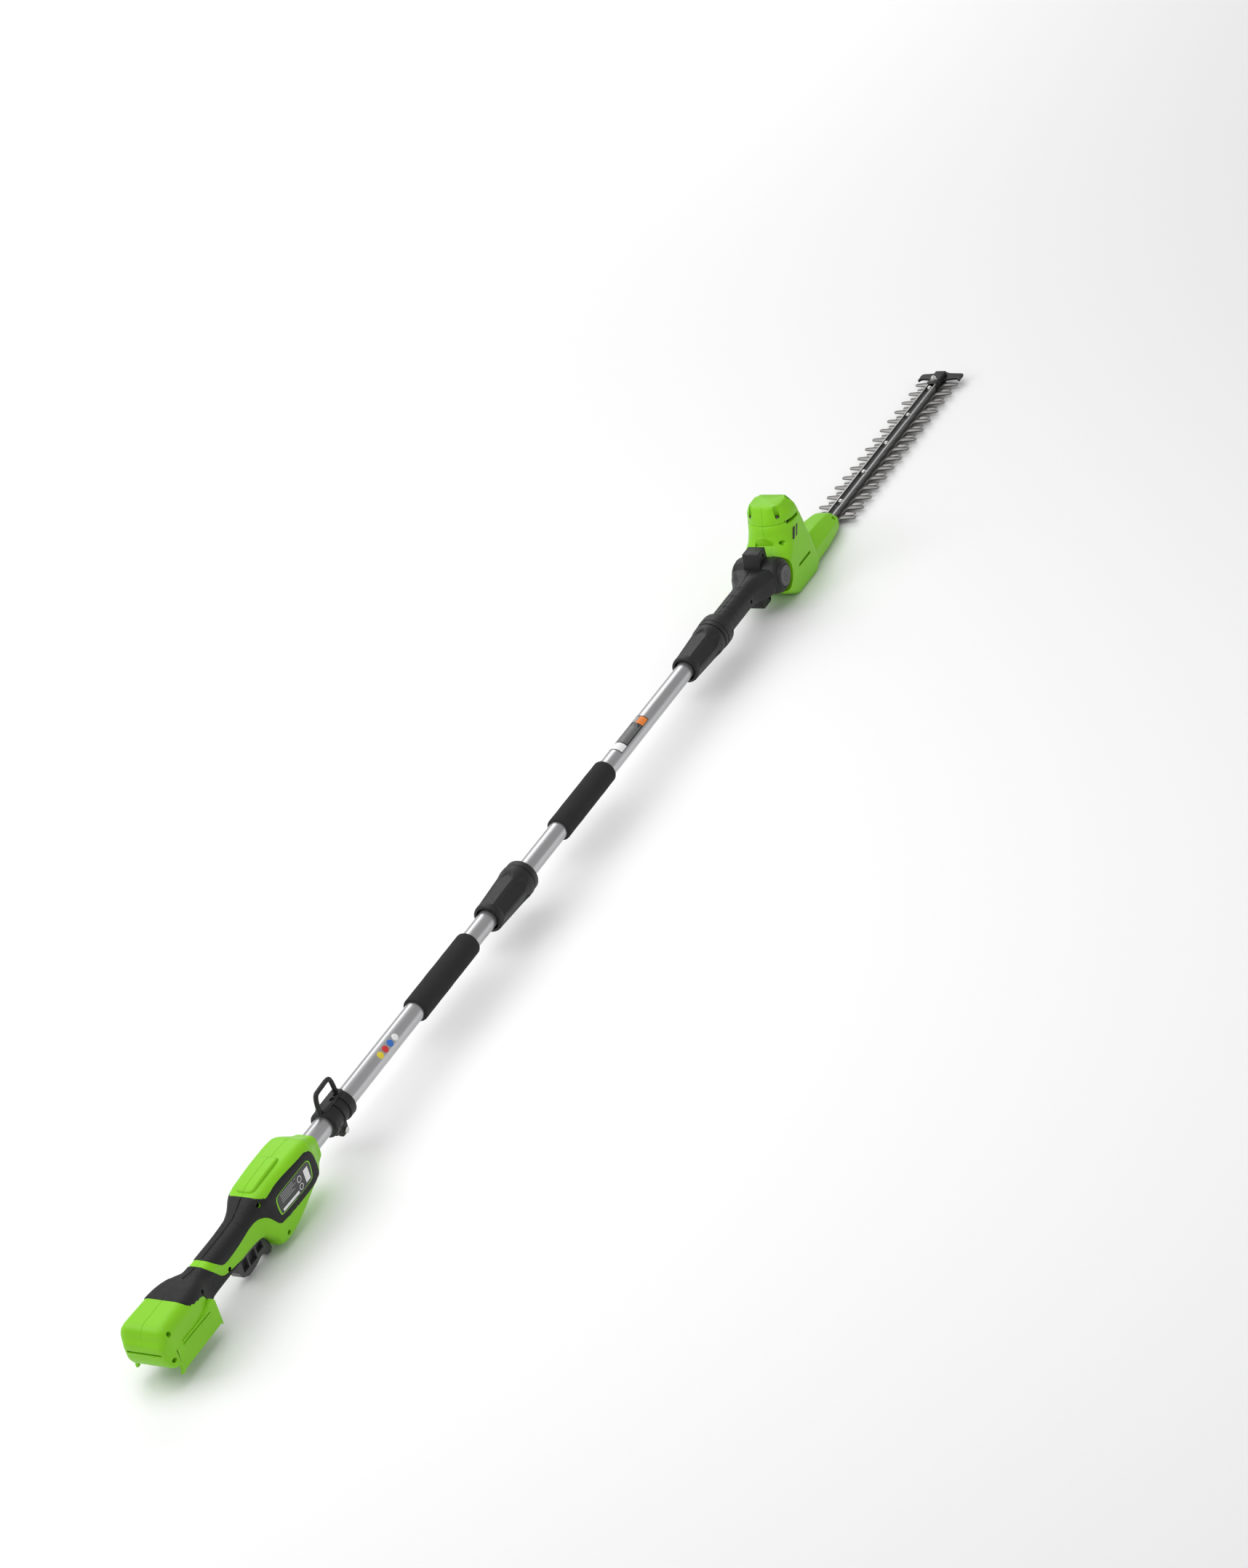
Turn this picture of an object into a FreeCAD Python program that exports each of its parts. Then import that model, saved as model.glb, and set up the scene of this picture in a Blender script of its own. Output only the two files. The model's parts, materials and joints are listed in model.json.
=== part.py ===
import FreeCAD, Part
import math
import os
import re
from types import SimpleNamespace

# Pole hedge trimmer, lying level: +X runs from the battery handle to the blade tip, +Y is to the left
# of the user, +Z is up. The origin is under the middle of the tool, on the surface that it lies on.
# All sizes are in millimetres.

Vector = FreeCAD.Vector
doc = FreeCAD.newDocument("PoleHedgeTrimmer")

# ---------------------------------------------------------------- driving sizes

SIZES = [
    ("tube_od", 28, "outer diameter of the aluminium pole"),
    ("tube_wall", 1.6, "wall of the pole"),
    ("fit_gap", 0.05, "radial clearance of a running or sliding fit"),
    ("body_gap", 0.5, "clearance between neighbours that move apart"),
    ("shell_wall", 3, "wall of the handle shells"),
    ("battery_len", 104, "battery housing, back to front"),
    ("battery_half", 35, "half width of the battery housing"),
    ("battery_top", 30, "battery housing above the pole's axis"),
    ("bay_drop", 39.5, "bay walls below the pole's axis"),
    ("bay_wall", 4, "side walls of the battery bay"),
    ("bay_ceiling", 6, "top of the bay below the pole's axis"),
    ("neck_len", 24, "tapered neck behind the grip"),
    ("grip_len", 110, "grip with the band behind it"),
    ("grip_half", 17.5, "half width of the grip"),
    ("grip_top", 21.5, "grip above the pole's axis"),
    ("front_len", 152, "front housing"),
    ("front_half", 31.5, "half width of the front housing"),
    ("front_top", 38, "hood above the pole's axis"),
    ("nose_drop", 54, "nose below the pole's axis"),
    ("skin", 0.8, "thickness of the soft overmould"),
    ("tube_seat", 92, "tube held inside the front housing"),
    ("trigger_half", 8.5, "half width of the trigger"),
    ("trigger_slot", 9.5, "half width of the slot for the trigger"),
    ("pin_r", 2.5, "radius of the trigger pin"),
    ("lower_exposed", 495, "pole between handle and lower nut"),
    ("middle_exposed", 547, "pole between lower joint and upper nut"),
    ("clamp_start", 40, "strap clamp ahead of the handle"),
    ("clamp_len", 50, "strap clamp along the pole"),
    ("clamp_r", 19, "outer radius of the strap clamp"),
    ("loop_rod", 6, "thickness of the strap loop"),
    ("foam_r", 18.2, "outer radius of the foam grips"),
    ("foam_len", 154, "length of a foam grip"),
    ("foam_lower", 284.5, "lower foam grip ahead of the handle"),
    ("foam_upper", 113, "upper foam grip ahead of the lower joint"),
    ("nut_len", 94, "coupler nut"),
    ("nut_small_r", 21.2, "coupler nut at its narrow end"),
    ("nut_big_r", 26, "coupler nut at its wide end"),
    ("nut_rim", 14, "cylindrical rim at the nut's wide end"),
    ("thread_r", 19, "outer radius of the threaded spigots"),
    ("spigot_len", 34, "spigot inside the nut"),
    ("joint_gap", 2, "groove between nut and collar"),
    ("collar_len", 11, "collar of the coupling socket"),
    ("collar_r", 25, "radius of the collar"),
    ("flange_len", 34, "flange of the neck"),
    ("flange_r", 27, "radius of the neck's flange"),
    ("neck_grip_len", 86, "narrow part of the neck"),
    ("neck_r", 20, "radius of the neck's narrow part"),
    ("pivot_reach", 73, "from the neck's narrow part to the tilt axis"),
    ("drum_r", 29, "radius of the knuckle drum"),
    ("drum_half", 40, "half width of the knuckle drum"),
    ("drum_gap", 1.5, "clearance round the drum"),
    ("hub_r", 24, "radius of the tilt hub"),
    ("hub_half", 11, "half width of the tilt hub"),
    ("pivot_r", 5, "radius of the pivot bolt"),
    ("button_r", 17, "radius of the release button"),
    ("button_travel", 4, "travel of the release button"),
    ("head_half", 44, "half width of the motor box"),
    ("head_top", 91, "top of the motor box above the pole's axis"),
    ("head_drop", 59, "underside of the head below the pole's axis"),
    ("cap_split", 62, "part line of the motor cap above the axis"),
    ("motor_x", 71, "motor axis ahead of the tilt axis"),
    ("motor_r", 22, "radius of the motor can"),
    ("gear_module", 1.25, "module of the reduction gear"),
    ("pinion_teeth", 8, "teeth of the pinion"),
    ("gear_teeth", 40, "teeth of the drive gear"),
    ("gear_width", 7, "face width of the gears"),
    ("throw", 8.5, "eccentric throw, half of the stroke"),
    ("first_tooth", 276, "first guard tooth ahead of the tilt axis"),
    ("tooth_pitch", 34, "pitch of the guard teeth"),
    ("tooth_count", 15, "guard teeth on each side"),
    ("blade_drop", 48, "top of the guard comb below the axis"),
    ("comb_half", 12.5, "half width of the comb's spine"),
    ("comb_reach", 40.2, "half width over the guard teeth"),
    ("comb_thick", 2.5, "thickness of the guard comb"),
    ("blade_half", 11, "half width of the moving blade's spine"),
    ("blade_reach", 31, "half width over the moving teeth"),
    ("blade_thick", 2.2, "thickness of the moving blade"),
    ("blade_gap", 0.4, "clearance between comb and moving blade"),
    ("bar_half", 7.4, "half width of the support bar"),
    ("bar_height", 10.5, "height of the support bar"),
    ("bar_wall", 1.5, "wall of the support bar"),
    ("bolt_r", 2.5, "radius of the blade bolts"),
    ("bolt_every", 3, "guard teeth from one blade bolt to the next"),
    ("tip_overhang", 40, "tip guard ahead of the last tooth"),
    ("screw_r", 1.6, "radius of the shell screws"),
    ("well_r", 3.3, "radius of the screw wells"),
    ("lead_r", 3, "radius of the inner power lead"),
]

sheet = doc.addObject("Spreadsheet::Sheet", "Sizes")
for row, (alias, value, note) in enumerate(SIZES, start=1):
    sheet.set("A%d" % row, note)
    sheet.set("B%d" % row, str(value))
    sheet.setAlias("B%d" % row, alias)
doc.recompute()
d = SimpleNamespace(**{alias: float(sheet.get(alias)) for alias, _, _ in SIZES})

# Stations along the pole, chained from the lengths and centred on the origin.
handle_len = d.battery_len + d.neck_len + d.grip_len + d.front_len
lower_len = d.lower_exposed + d.nut_len + d.joint_gap
middle_len = d.collar_len + d.middle_exposed + d.nut_len + d.joint_gap
neck_len = d.flange_len + d.neck_grip_len + d.pivot_reach
blade_len = (d.tooth_count - 1) * d.tooth_pitch
head_len = d.first_tooth + blade_len + d.tip_overhang
rear = -(handle_len + lower_len + middle_len + neck_len + head_len) / 2
battery_front = rear + d.battery_len
band = battery_front + d.neck_len
grip_front = band + d.grip_len
handle_front = grip_front + d.front_len
nut_lower = handle_front + d.lower_exposed
collar = nut_lower + d.nut_len + d.joint_gap
collar_end = collar + d.collar_len
nut_upper = collar_end + d.middle_exposed
flange = nut_upper + d.nut_len + d.joint_gap
neck_front = flange + d.flange_len + d.neck_grip_len
pivot = neck_front + d.pivot_reach
first_tooth = pivot + d.first_tooth
last_tooth = first_tooth + blade_len
tip = last_tooth + d.tip_overhang
axis_z = d.head_drop
motor_x = pivot + d.motor_x
pinion_pitch_r = d.gear_module * d.pinion_teeth / 2
gear_pitch_r = d.gear_module * d.gear_teeth / 2
gear_x = motor_x + pinion_pitch_r + gear_pitch_r
comb_top = axis_z - d.blade_drop
comb_bottom = comb_top - d.comb_thick
blade_top = comb_bottom - d.blade_gap
blade_bottom = blade_top - d.blade_thick

pieces = {}


# ---------------------------------------------------------------- helpers


def bind(item, prop, text):
    """Bind a property to an expression of sheet aliases, such as 'tube_od / 2 - tube_wall'."""
    item.setExpression(prop, re.sub(r"[a-z]\w*", r"Sizes.\g<0>", text))


TURN = {
    "z": FreeCAD.Rotation(),
    "x": FreeCAD.Rotation(Vector(0, 1, 0), 90),
    "y": FreeCAD.Rotation(Vector(1, 0, 0), -90),
    "-y": FreeCAD.Rotation(Vector(1, 0, 0), 90),
    "-z": FreeCAD.Rotation(Vector(1, 0, 0), 180),
}


def keep(item, label, base=None, axis="z"):
    """Name a finished sub-part, place it and list it for export."""
    item.Label = label
    if base is not None:
        item.Placement = FreeCAD.Placement(base, TURN[axis])
    pieces[label] = item
    return item


def feature(label, shape):
    """A sub-part whose shape is worked out with Part's own functions."""
    item = doc.addObject("Part::Feature", label)
    item.Shape = shape
    return keep(item, label)


def round_step(name, offset, length, start_r, end_r=None):
    """One cylinder or cone, along local Z, starting at an offset given as an expression."""
    kind = "Part::Cylinder" if end_r is None else "Part::Cone"
    item = doc.addObject(kind, name)
    if end_r is None:
        bind(item, "Radius", start_r)
    else:
        bind(item, "Radius1", start_r)
        bind(item, "Radius2", end_r)
    bind(item, "Height", length)
    if offset != "0":
        bind(item, "Placement.Base.z", offset)
    return item


def merge(name, items):
    """One fused object, or the only one."""
    if len(items) == 1:
        return items[0]
    item = doc.addObject("Part::MultiFuse", name)
    item.Shapes = items
    return item


def turned(label, base, axis, steps, bores=()):
    """A round piece: steps (length, radius[, end radius]) laid end to end along its axis, minus bores
    (offset, length, radius[, end radius])."""
    solids = []
    offset = "0"
    for index, step in enumerate(steps):
        solids.append(round_step("%s_step%d" % (label, index), offset, *step))
        offset = "%s + %s" % (offset, step[0])
    item = merge(label + "_outer", solids)
    if bores:
        holes = [round_step("%s_bore%d" % (label, i), *bore) for i, bore in enumerate(bores)]
        cut = doc.addObject("Part::Cut", label)
        cut.Base = item
        cut.Tool = merge(label + "_bores", holes)
        item = cut
    return keep(item, label, base, axis)


def origin_plane(body, role):
    """The body's own origin plane with this role."""
    return next(item for item in body.Origin.OriginFeatures if item.Role == role)


def add_loop(sketch, points):
    """A closed loop of straight edges through the points, in the sketch's own plane."""
    for start, end in zip(points, points[1:] + points[:1]):
        sketch.addGeometry(Part.LineSegment(Vector(*start, 0), Vector(*end, 0)))


def plate(label, base, axis_role, outline, thickness, holes=()):
    """A flat piece: a sketched outline with round holes (u, v, radius), padded by a sheet expression."""
    body = doc.addObject("PartDesign::Body", label + "_body")
    sketch = body.newObject("Sketcher::SketchObject", label + "_sketch")
    sketch.AttachmentSupport = [(origin_plane(body, axis_role), "")]
    sketch.MapMode = "FlatFace"
    add_loop(sketch, outline)
    for u, v, radius in holes:
        sketch.addGeometry(Part.Circle(Vector(u, v, 0), Vector(0, 0, 1), radius))
    pad = body.newObject("PartDesign::Pad", label + "_pad")
    pad.Profile = sketch
    bind(pad, "Length", thickness)
    keep(body, label)
    body.Placement = FreeCAD.Placement(base, FreeCAD.Rotation())
    return body


def box(x0, x1, y0, y1, z0, z1):
    """A block between two corners; heights count from the pole's axis."""
    return Part.makeBox(x1 - x0, y1 - y0, z1 - z0, Vector(x0, y0, z0 + axis_z))


def rod(x, z, radius, y0, y1):
    """A cylinder along Y; its height counts from the pole's axis."""
    return Part.makeCylinder(radius, y1 - y0, Vector(x, y0, z + axis_z), Vector(0, 1, 0))


def along(x0, x1, radius):
    """A cylinder on the pole's axis."""
    return Part.makeCylinder(radius, x1 - x0, Vector(x0, 0, axis_z), Vector(1, 0, 0))


def upright(x, radius, z0, z1):
    """A cylinder along Z; heights count from the pole's axis."""
    return Part.makeCylinder(radius, z1 - z0, Vector(x, 0, z0 + axis_z))


def rounded_wire(x, half, top, bottom, upper_r, lower_r):
    """A rounded rectangle across the pole at x."""
    corners = [
        (half - upper_r, top - upper_r, upper_r, 0),
        (upper_r - half, top - upper_r, upper_r, 90),
        (lower_r - half, bottom + lower_r, lower_r, 180),
        (half - lower_r, bottom + lower_r, lower_r, 270),
    ]
    arcs = []
    for y, z, radius, first in corners:
        ends = []
        for turn in (first, first + 45, first + 90):
            angle = math.radians(turn)
            across = y + radius * math.cos(angle)
            ends.append(Vector(x, across, z + radius * math.sin(angle) + axis_z))
        arcs.append(ends)
    edges = []
    for arc, following in zip(arcs, arcs[1:] + arcs[:1]):
        edges.append(Part.Arc(*arc).toShape())
        edges.append(Part.LineSegment(arc[2], following[0]).toShape())
    return Part.Wire(edges)


def loft(rows):
    """A solid through rounded rectangles given as rows of rounded_wire's arguments."""
    return Part.makeLoft([rounded_wire(*row) for row in rows], True, True)


def facet_loft(rows):
    """A solid through chamfered sections (x, half, top, bottom, side chamfer, top chamfer, low chamfer)."""
    wires = []
    for x, half, top, bottom, side, fall, low in rows:
        right = [(half - low, bottom), (half, bottom + low), (half, top - fall), (half - side, top)]
        left = [(-y, z) for y, z in reversed(right)]
        points = [Vector(x, y, z + axis_z) for y, z in right + left]
        wires.append(Part.makePolygon(points + points[:1]))
    return Part.makeLoft(wires, True, True)


def tower_loft(rows):
    """A solid through chamfered plans (z, rear x, front x, half width, rear chamfer, front chamfer)."""
    wires = []
    for z, back, front, half, rear_cut, front_cut in rows:
        right = [(back, half - rear_cut), (back + rear_cut, half), (front - front_cut, half)]
        right.append((front, half - front_cut))
        left = [(x, -y) for x, y in reversed(right)]
        points = [Vector(x, y, z + axis_z) for x, y in right + left]
        wires.append(Part.makePolygon(points + points[:1]))
    return Part.makeLoft(wires, True, True)


def side_prism(points, half):
    """A prism across the tool, from an outline in x and height above the pole's axis."""
    corners = [Vector(x, -half, z + axis_z) for x, z in points]
    face = Part.Face(Part.makePolygon(corners + corners[:1]))
    return face.extrude(Vector(0, 2 * half, 0))


def half_space(side, reach=200):
    """A block that covers one side of the middle plane, over the whole tool."""
    low = 0 if side > 0 else -reach
    return box(rear - 50, tip + 50, low, low + reach, -reach, reach)


def halves(left_label, right_label, shape):
    """Split a shell along its middle seam into two sub-parts."""
    feature(left_label, shape.common(half_space(1)))
    feature(right_label, shape.common(half_space(-1)))


def screw_group(label, spots, seat_y, length):
    """Screws along Y, heads on the right: spots are (x, z) from the pole's axis."""
    solids = []
    for x, z in spots:
        head = rod(x, z, d.well_r - 0.4, seat_y - 2.6, seat_y)
        socket = rod(x, z, 1.2, seat_y - 2.6, seat_y - 1)
        shank = rod(x, z, d.screw_r - d.fit_gap, seat_y, seat_y + length)
        solids.append(head.cut(socket).fuse(shank).removeSplitter())
    feature(label, Part.makeCompound(solids))


def drill_screws(shell, spots, seat_y, length, reach):
    """Cut the wells and pilot holes that the screws of a group sit in."""
    for x, z in spots:
        shell = shell.cut(rod(x, z, d.well_r, -reach, seat_y))
        shell = shell.cut(rod(x, z, d.screw_r, seat_y - 1, seat_y + length + 1))
    return shell


# ---------------------------------------------------------------- handle


def handle_rows():
    """Cross sections of the handle's outside, from the battery housing to the tube."""
    half, top, bottom = d.battery_half, d.battery_top, 2 - d.battery_top
    grip, crown = d.grip_half, d.grip_top
    return [
        (rear, half - 5, 12, -18, 8, 8),
        (rear + 8, half - 1, top - 5, bottom + 1, 12, 6),
        (rear + 14, half, top, bottom, 16, 6),
        (battery_front - 46, half, top, bottom, 17, 6),
        (battery_front - 28, half - 2, top - 0.5, bottom, 16, 6),
        (battery_front - 5, half - 9, top - 3.5, bottom + 1, 14, 7),
        (battery_front + 11, grip + 1, crown + 0.5, -24, 13, 8),
        (band - 2, grip, crown, 0.5 - crown, 13, 10),
        (grip_front - 25, grip, crown, 0.5 - crown, 13, 10),
        (grip_front - 10, grip + 1.5, crown + 5.5, -21, 13, 10),
        (grip_front + 5, d.front_half - 7.5, d.front_top - 4, -24, 15, 10),
        (grip_front + 11, d.front_half - 5, d.front_top - 2, -32, 15, 11),
        (grip_front + 19, d.front_half - 3, d.front_top - 1, 6 - d.nose_drop, 16, 13),
        (grip_front + 34, d.front_half - 2, d.front_top, -d.nose_drop, 16, 16),
        (grip_front + 70, d.front_half, d.front_top, -42, 16, 12),
        (handle_front - 36, d.front_half - 0.5, d.front_top - 1, -21, 15, 8),
        (handle_front - 22, d.front_half - 4, d.front_top - 5, -20, 14, 8),
        (handle_front - 10, d.front_half - 9, d.front_top - 11, -19, 12, 8),
        (handle_front, d.front_half - 13.5, d.front_top - 19, -18, 10, 8),
    ]


def grown(rows, amount):
    """The same sections, moved outwards by an amount."""
    swollen = []
    for index, (x, half, top, bottom, upper_r, lower_r) in enumerate(rows):
        shift = {0: -amount, len(rows) - 1: amount}.get(index, 0)
        radii = (upper_r + amount, lower_r + amount)
        swollen.append((x + shift, half + amount, top + amount, bottom - amount, *radii))
    return swollen


def handle_cavity():
    """The hollow of the handle; over the battery bay it ends above the bay's ceiling."""
    rows = []
    for x, half, top, bottom, upper_r, lower_r in grown(handle_rows(), -d.shell_wall):
        if x < battery_front:
            bottom = d.shell_wall - d.bay_ceiling
            lower_r = 2
        rows.append((x, half, top, bottom, upper_r, lower_r))
    return loft(rows)


trigger_x = grip_front + 17
trigger_z = -33
bay_rear = rear + 18
bay_front = battery_front - 3
bay_half = d.battery_half - d.bay_wall
outer = loft(handle_rows())
pad = side_prism(
    [
        (grip_front + 11, 30),
        (grip_front + 21, d.front_top + 3.5),
        (grip_front + 74, d.front_top + 5),
        (grip_front + 81, 30),
    ],
    17,
)
bay_sides = [
    box(rear + 14, battery_front - 2, min(y0, y1), max(y0, y1), -d.bay_drop, -d.bay_ceiling)
    for y0, y1 in ((bay_half, d.battery_half), (-bay_half, -d.battery_half))
]
deck = box(
    rear + 14, battery_front - 2,
    -d.battery_half, d.battery_half,
    -d.bay_ceiling, d.shell_wall - d.bay_ceiling,
)
solid = outer.fuse([pad, deck] + bay_sides)
shell = solid.cut(handle_cavity())

# Ribs that carry the pole, and bosses for the trigger pin and the screws.
handle_screws = [
    (rear + 15, 20),
    (rear + 9, -14),
    (battery_front - 7, 14),
    (band + 36, -9),
    (grip_front + 5, 26),
    (grip_front + 33, -38),
    (handle_front - 36, 28),
]
supports = [
    box(x, x + 4, -d.front_half, d.front_half, -60, 60)
    for x in (handle_front - d.tube_seat + 4, handle_front - 48)
]
supports.append(rod(trigger_x, trigger_z, d.pin_r + 5, -d.front_half, d.front_half))
supports += [rod(x, z, d.well_r + 2, -d.battery_half, d.battery_half) for x, z in handle_screws]
for support in supports:
    shell = shell.fuse(support.common(outer))
shell = shell.cut(box(bay_rear, bay_front, -bay_half, bay_half, -60, -d.bay_ceiling))
rails = [
    box(x, x + 3, min(y0, y1), max(y0, y1), -36, -d.bay_ceiling)
    for x in (bay_rear + 16, bay_front - 22)
    for y0, y1 in ((bay_half - 2, bay_half + 1), (-bay_half - 1, 2 - bay_half))
]
shell = shell.fuse(rails)
slot_rear = grip_front - 58
slot_front = grip_front + 27
lock_x = grip_front + 12
lock_z = 10
cuts = [
    box(slot_rear, slot_front, -d.trigger_slot, d.trigger_slot, -62, -12),
    rod(trigger_x, trigger_z, d.pin_r + d.fit_gap, -20, 20),
    rod(trigger_x, trigger_z, d.pin_r + 3.1, 9, 14),
    along(handle_front - d.tube_seat, handle_front + 5, d.tube_od / 2 + d.fit_gap),
    rod(lock_x, lock_z, 5.4, 10, 50),
    box(rear - 2, rear + 4, -19, 19, -1.5, 1.5),
]
for cut in cuts:
    shell = shell.cut(cut)
shell = drill_screws(shell, handle_screws, -10, 20, 60)
halves("rear_shell_left", "rear_shell_right", shell)
screw_group("handle_screws", handle_screws, -10, 20)

neck_zone = [
    (battery_front - 47, 50),
    (battery_front - 47, 29),
    (battery_front - 40, 20),
    (battery_front - 14, 13),
    (battery_front - 4, 4),
    (battery_front + 2, -10),
    (battery_front + 3, -50),
    (band + 65, -50),
    (band + 65, -17),
    (band + 22, -8.5),
    (band + 1, 22),
    (band + 1, 50),
]
grip_zone = [
    (band + 12.4, 50),
    (band + 12.4, 22),
    (band + 28, 3),
    (grip_front - 38, 3),
    (grip_front - 22, 8),
    (grip_front - 5, 10),
    (grip_front + 6, 6.4),
    (grip_front + 14, 0),
    (grip_front + 22, -15.6),
    (grip_front + 29, -19.8),
    (handle_front - 40, -19),
    (handle_front - 33, -10),
    (handle_front - 33, 17),
    (handle_front - 40, 27),
    (handle_front - 53, 29),
    (grip_front + 60, 31),
    (grip_front + 18, 28),
    (grip_front + 8, 33),
    (grip_front + 6, 50),
]
skin = loft(grown(handle_rows(), d.skin)).cut(solid)
cover = skin.common(side_prism(neck_zone, 60)).fuse(skin.common(side_prism(grip_zone, 60)))
for cut in (cuts[0], cuts[4]):
    cover = cover.cut(cut)
for x, z in handle_screws:
    cover = cover.cut(rod(x, z, d.well_r, -60, 0))
halves("grip_overmould_left", "grip_overmould_right", cover)

plate_zone = [
    (handle_front - 47, 18),
    (handle_front - 46, -6),
    (handle_front - 54, -10),
    (handle_front - 119, -10),
    (handle_front - 123, -6),
    (handle_front - 123, 14),
    (handle_front - 117, 19),
    (handle_front - 52, 20),
]
label_skin = loft(grown(handle_rows(), 2 * d.skin)).cut(loft(grown(handle_rows(), d.skin)))
feature("data_plate", label_skin.common(side_prism(plate_zone, 60)).common(half_space(-1)))

board_x = rear + 24
board = box(board_x, board_x + 58, -24, 24, 4, 5.6)
board = board.fuse(box(board_x + 8, board_x + 22, -10, 10, 5.6, 14))
board = board.fuse(box(board_x + 34, board_x + 42, -18, 18, 5.6, 10))
feature("control_board", board)
contact_x = battery_front - 42
contacts = box(contact_x, contact_x + 24, -15, 15, -d.bay_ceiling - 7, -d.bay_ceiling)
for y in (-10, -3.5, 3.5, 10):
    contacts = contacts.cut(box(contact_x - 1, contact_x + 20, y - 1, y + 1, -14, -9))
feature("battery_contacts", contacts)
switch = box(grip_front - 46, grip_front - 18, -7, 7, -9, 7)
feature("trigger_switch", switch.fuse(rod(grip_front - 40, -10, 1.5, -2, 2)))

trigger_outline = [
    (-5, 6), (-17, 9), (-43, 11), (-59, 12), (-68, 7), (-70, -2), (-64, -13), (-53, -18.5), (-37, -17.5),
    (-23, -13.5), (-16, -14.5), (-11, -21), (-4, -22), (0.4, -18), (0, -11), (6, -5), (6, 4), (1, 6),
]
trigger = side_prism([(trigger_x + x, trigger_z + z) for x, z in trigger_outline], d.trigger_half)
for x0, x1, z0, z1 in ((-60, -48, -9, 7), (-45, -30, -10, 6), (-27, -14, -6, 5)):
    for side in (-1, 1):
        y0, y1 = sorted((side * 2, side * (d.trigger_half + 1)))
        pocket = box(trigger_x + x0, trigger_x + x1, y0, y1, trigger_z + z0, trigger_z + z1)
        trigger = trigger.cut(pocket)
trigger = trigger.cut(rod(trigger_x, trigger_z, d.pin_r + d.fit_gap, -20, 20))
feature("trigger", trigger)
pin_base = Vector(trigger_x, -18, axis_z + trigger_z)
turned("trigger_pin", pin_base, "y", [("36", "pin_r")])
spring_turns = [
    Part.makeTorus(d.pin_r + 2, 0.6, Vector(trigger_x, y, axis_z + trigger_z), Vector(0, 1, 0))
    for y in (10.3, 11.6, 12.9)
]
feature("trigger_spring", Part.makeCompound(spring_turns))
lock_base = Vector(lock_x, 19, axis_z + lock_z)
turned("lock_off_button", lock_base, "y", [("10", "5"), ("1.5", "5", "4.2")])

# ---------------------------------------------------------------- pole


def on_axis(x):
    """A point on the pole's axis."""
    return Vector(x, 0, axis_z)


def tube(label, start, length):
    """A length of the aluminium pole."""
    turned(label, on_axis(start), "x", [(length, "tube_od / 2")], [("0", length, "tube_od / 2 - tube_wall")])


def foam(label, start):
    """A foam grip with softened ends."""
    steps = [("2", "foam_r - 1.5", "foam_r"), ("foam_len - 4", "foam_r"), ("2", "foam_r", "foam_r - 1.5")]
    turned(label, on_axis(start), "x", steps, [("0", "foam_len", "tube_od / 2")])


def coupler_nut(label, start):
    """A coupler nut: tapered, with six flats, free to turn on the tube end."""
    steps = [
        ("3", "nut_small_r - 1.5", "nut_small_r"),
        ("nut_len - nut_rim - 5", "nut_small_r", "nut_big_r"),
        ("nut_rim", "nut_big_r"),
        ("2", "nut_big_r", "nut_big_r - 1.5"),
    ]
    bores = [
        ("0", "9", "tube_od / 2 + 3"),
        ("9", "24", "tube_od / 2 + fit_gap"),
        ("32", "nut_len - 32", "thread_r + body_gap"),
    ]
    blank = turned(label + "_blank", on_axis(start), "x", steps, bores)
    pieces.pop(label + "_blank")
    slope = math.atan2(d.nut_big_r - d.nut_small_r, d.nut_len - d.nut_rim - 5)
    flats = []
    for index in range(6):
        flat = doc.addObject("Part::Box", "%s_flat%d" % (label, index))
        bind(flat, "Length", "nut_len - nut_rim - 12")
        flat.Width = 20
        flat.Height = 4
        lean = FreeCAD.Rotation(Vector(0, 1, 0), -math.degrees(slope))
        around = FreeCAD.Rotation(Vector(1, 0, 0), 60 * index)
        corner = around.multVec(Vector(12, -10, d.nut_small_r - 1.1))
        flat.Placement = FreeCAD.Placement(on_axis(start) + corner, around.multiply(lean))
        flats.append(flat)
    cut = doc.addObject("Part::Cut", label)
    cut.Base = blank
    cut.Tool = merge(label + "_flats", flats)
    keep(cut, label)


def ferrule(label, start):
    """The ring on the end of a tube that holds its nut."""
    steps = [("11", "thread_r - 1")]
    turned(label, on_axis(start), "x", steps, [("0", "11", "tube_od / 2")])


def plug(label, start):
    """The electric plug in the end of a tube."""
    steps = [("10", "tube_od / 2 - tube_wall"), ("nut_len - spigot_len - 34", "7")]
    turned(label, on_axis(start), "x", steps)


def lead(label, start, length):
    """The power lead inside the pole, between its connectors."""
    turned(label, on_axis(start), "x", [(length, "lead_r")])


tube_tail = 44
tube_front = nut_lower + tube_tail
tube("lower_tube", handle_front - d.tube_seat, "tube_seat + lower_exposed + 44")
foam("foam_grip_lower", handle_front + d.foam_lower)
ferrule("ferrule_lower", tube_front - 11.5)
coupler_nut("coupler_nut_lower", nut_lower)
plug("plug_lower", tube_front - 10)
lead("lead_lower", handle_front - 132, "132 + lower_exposed + 34")

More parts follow.
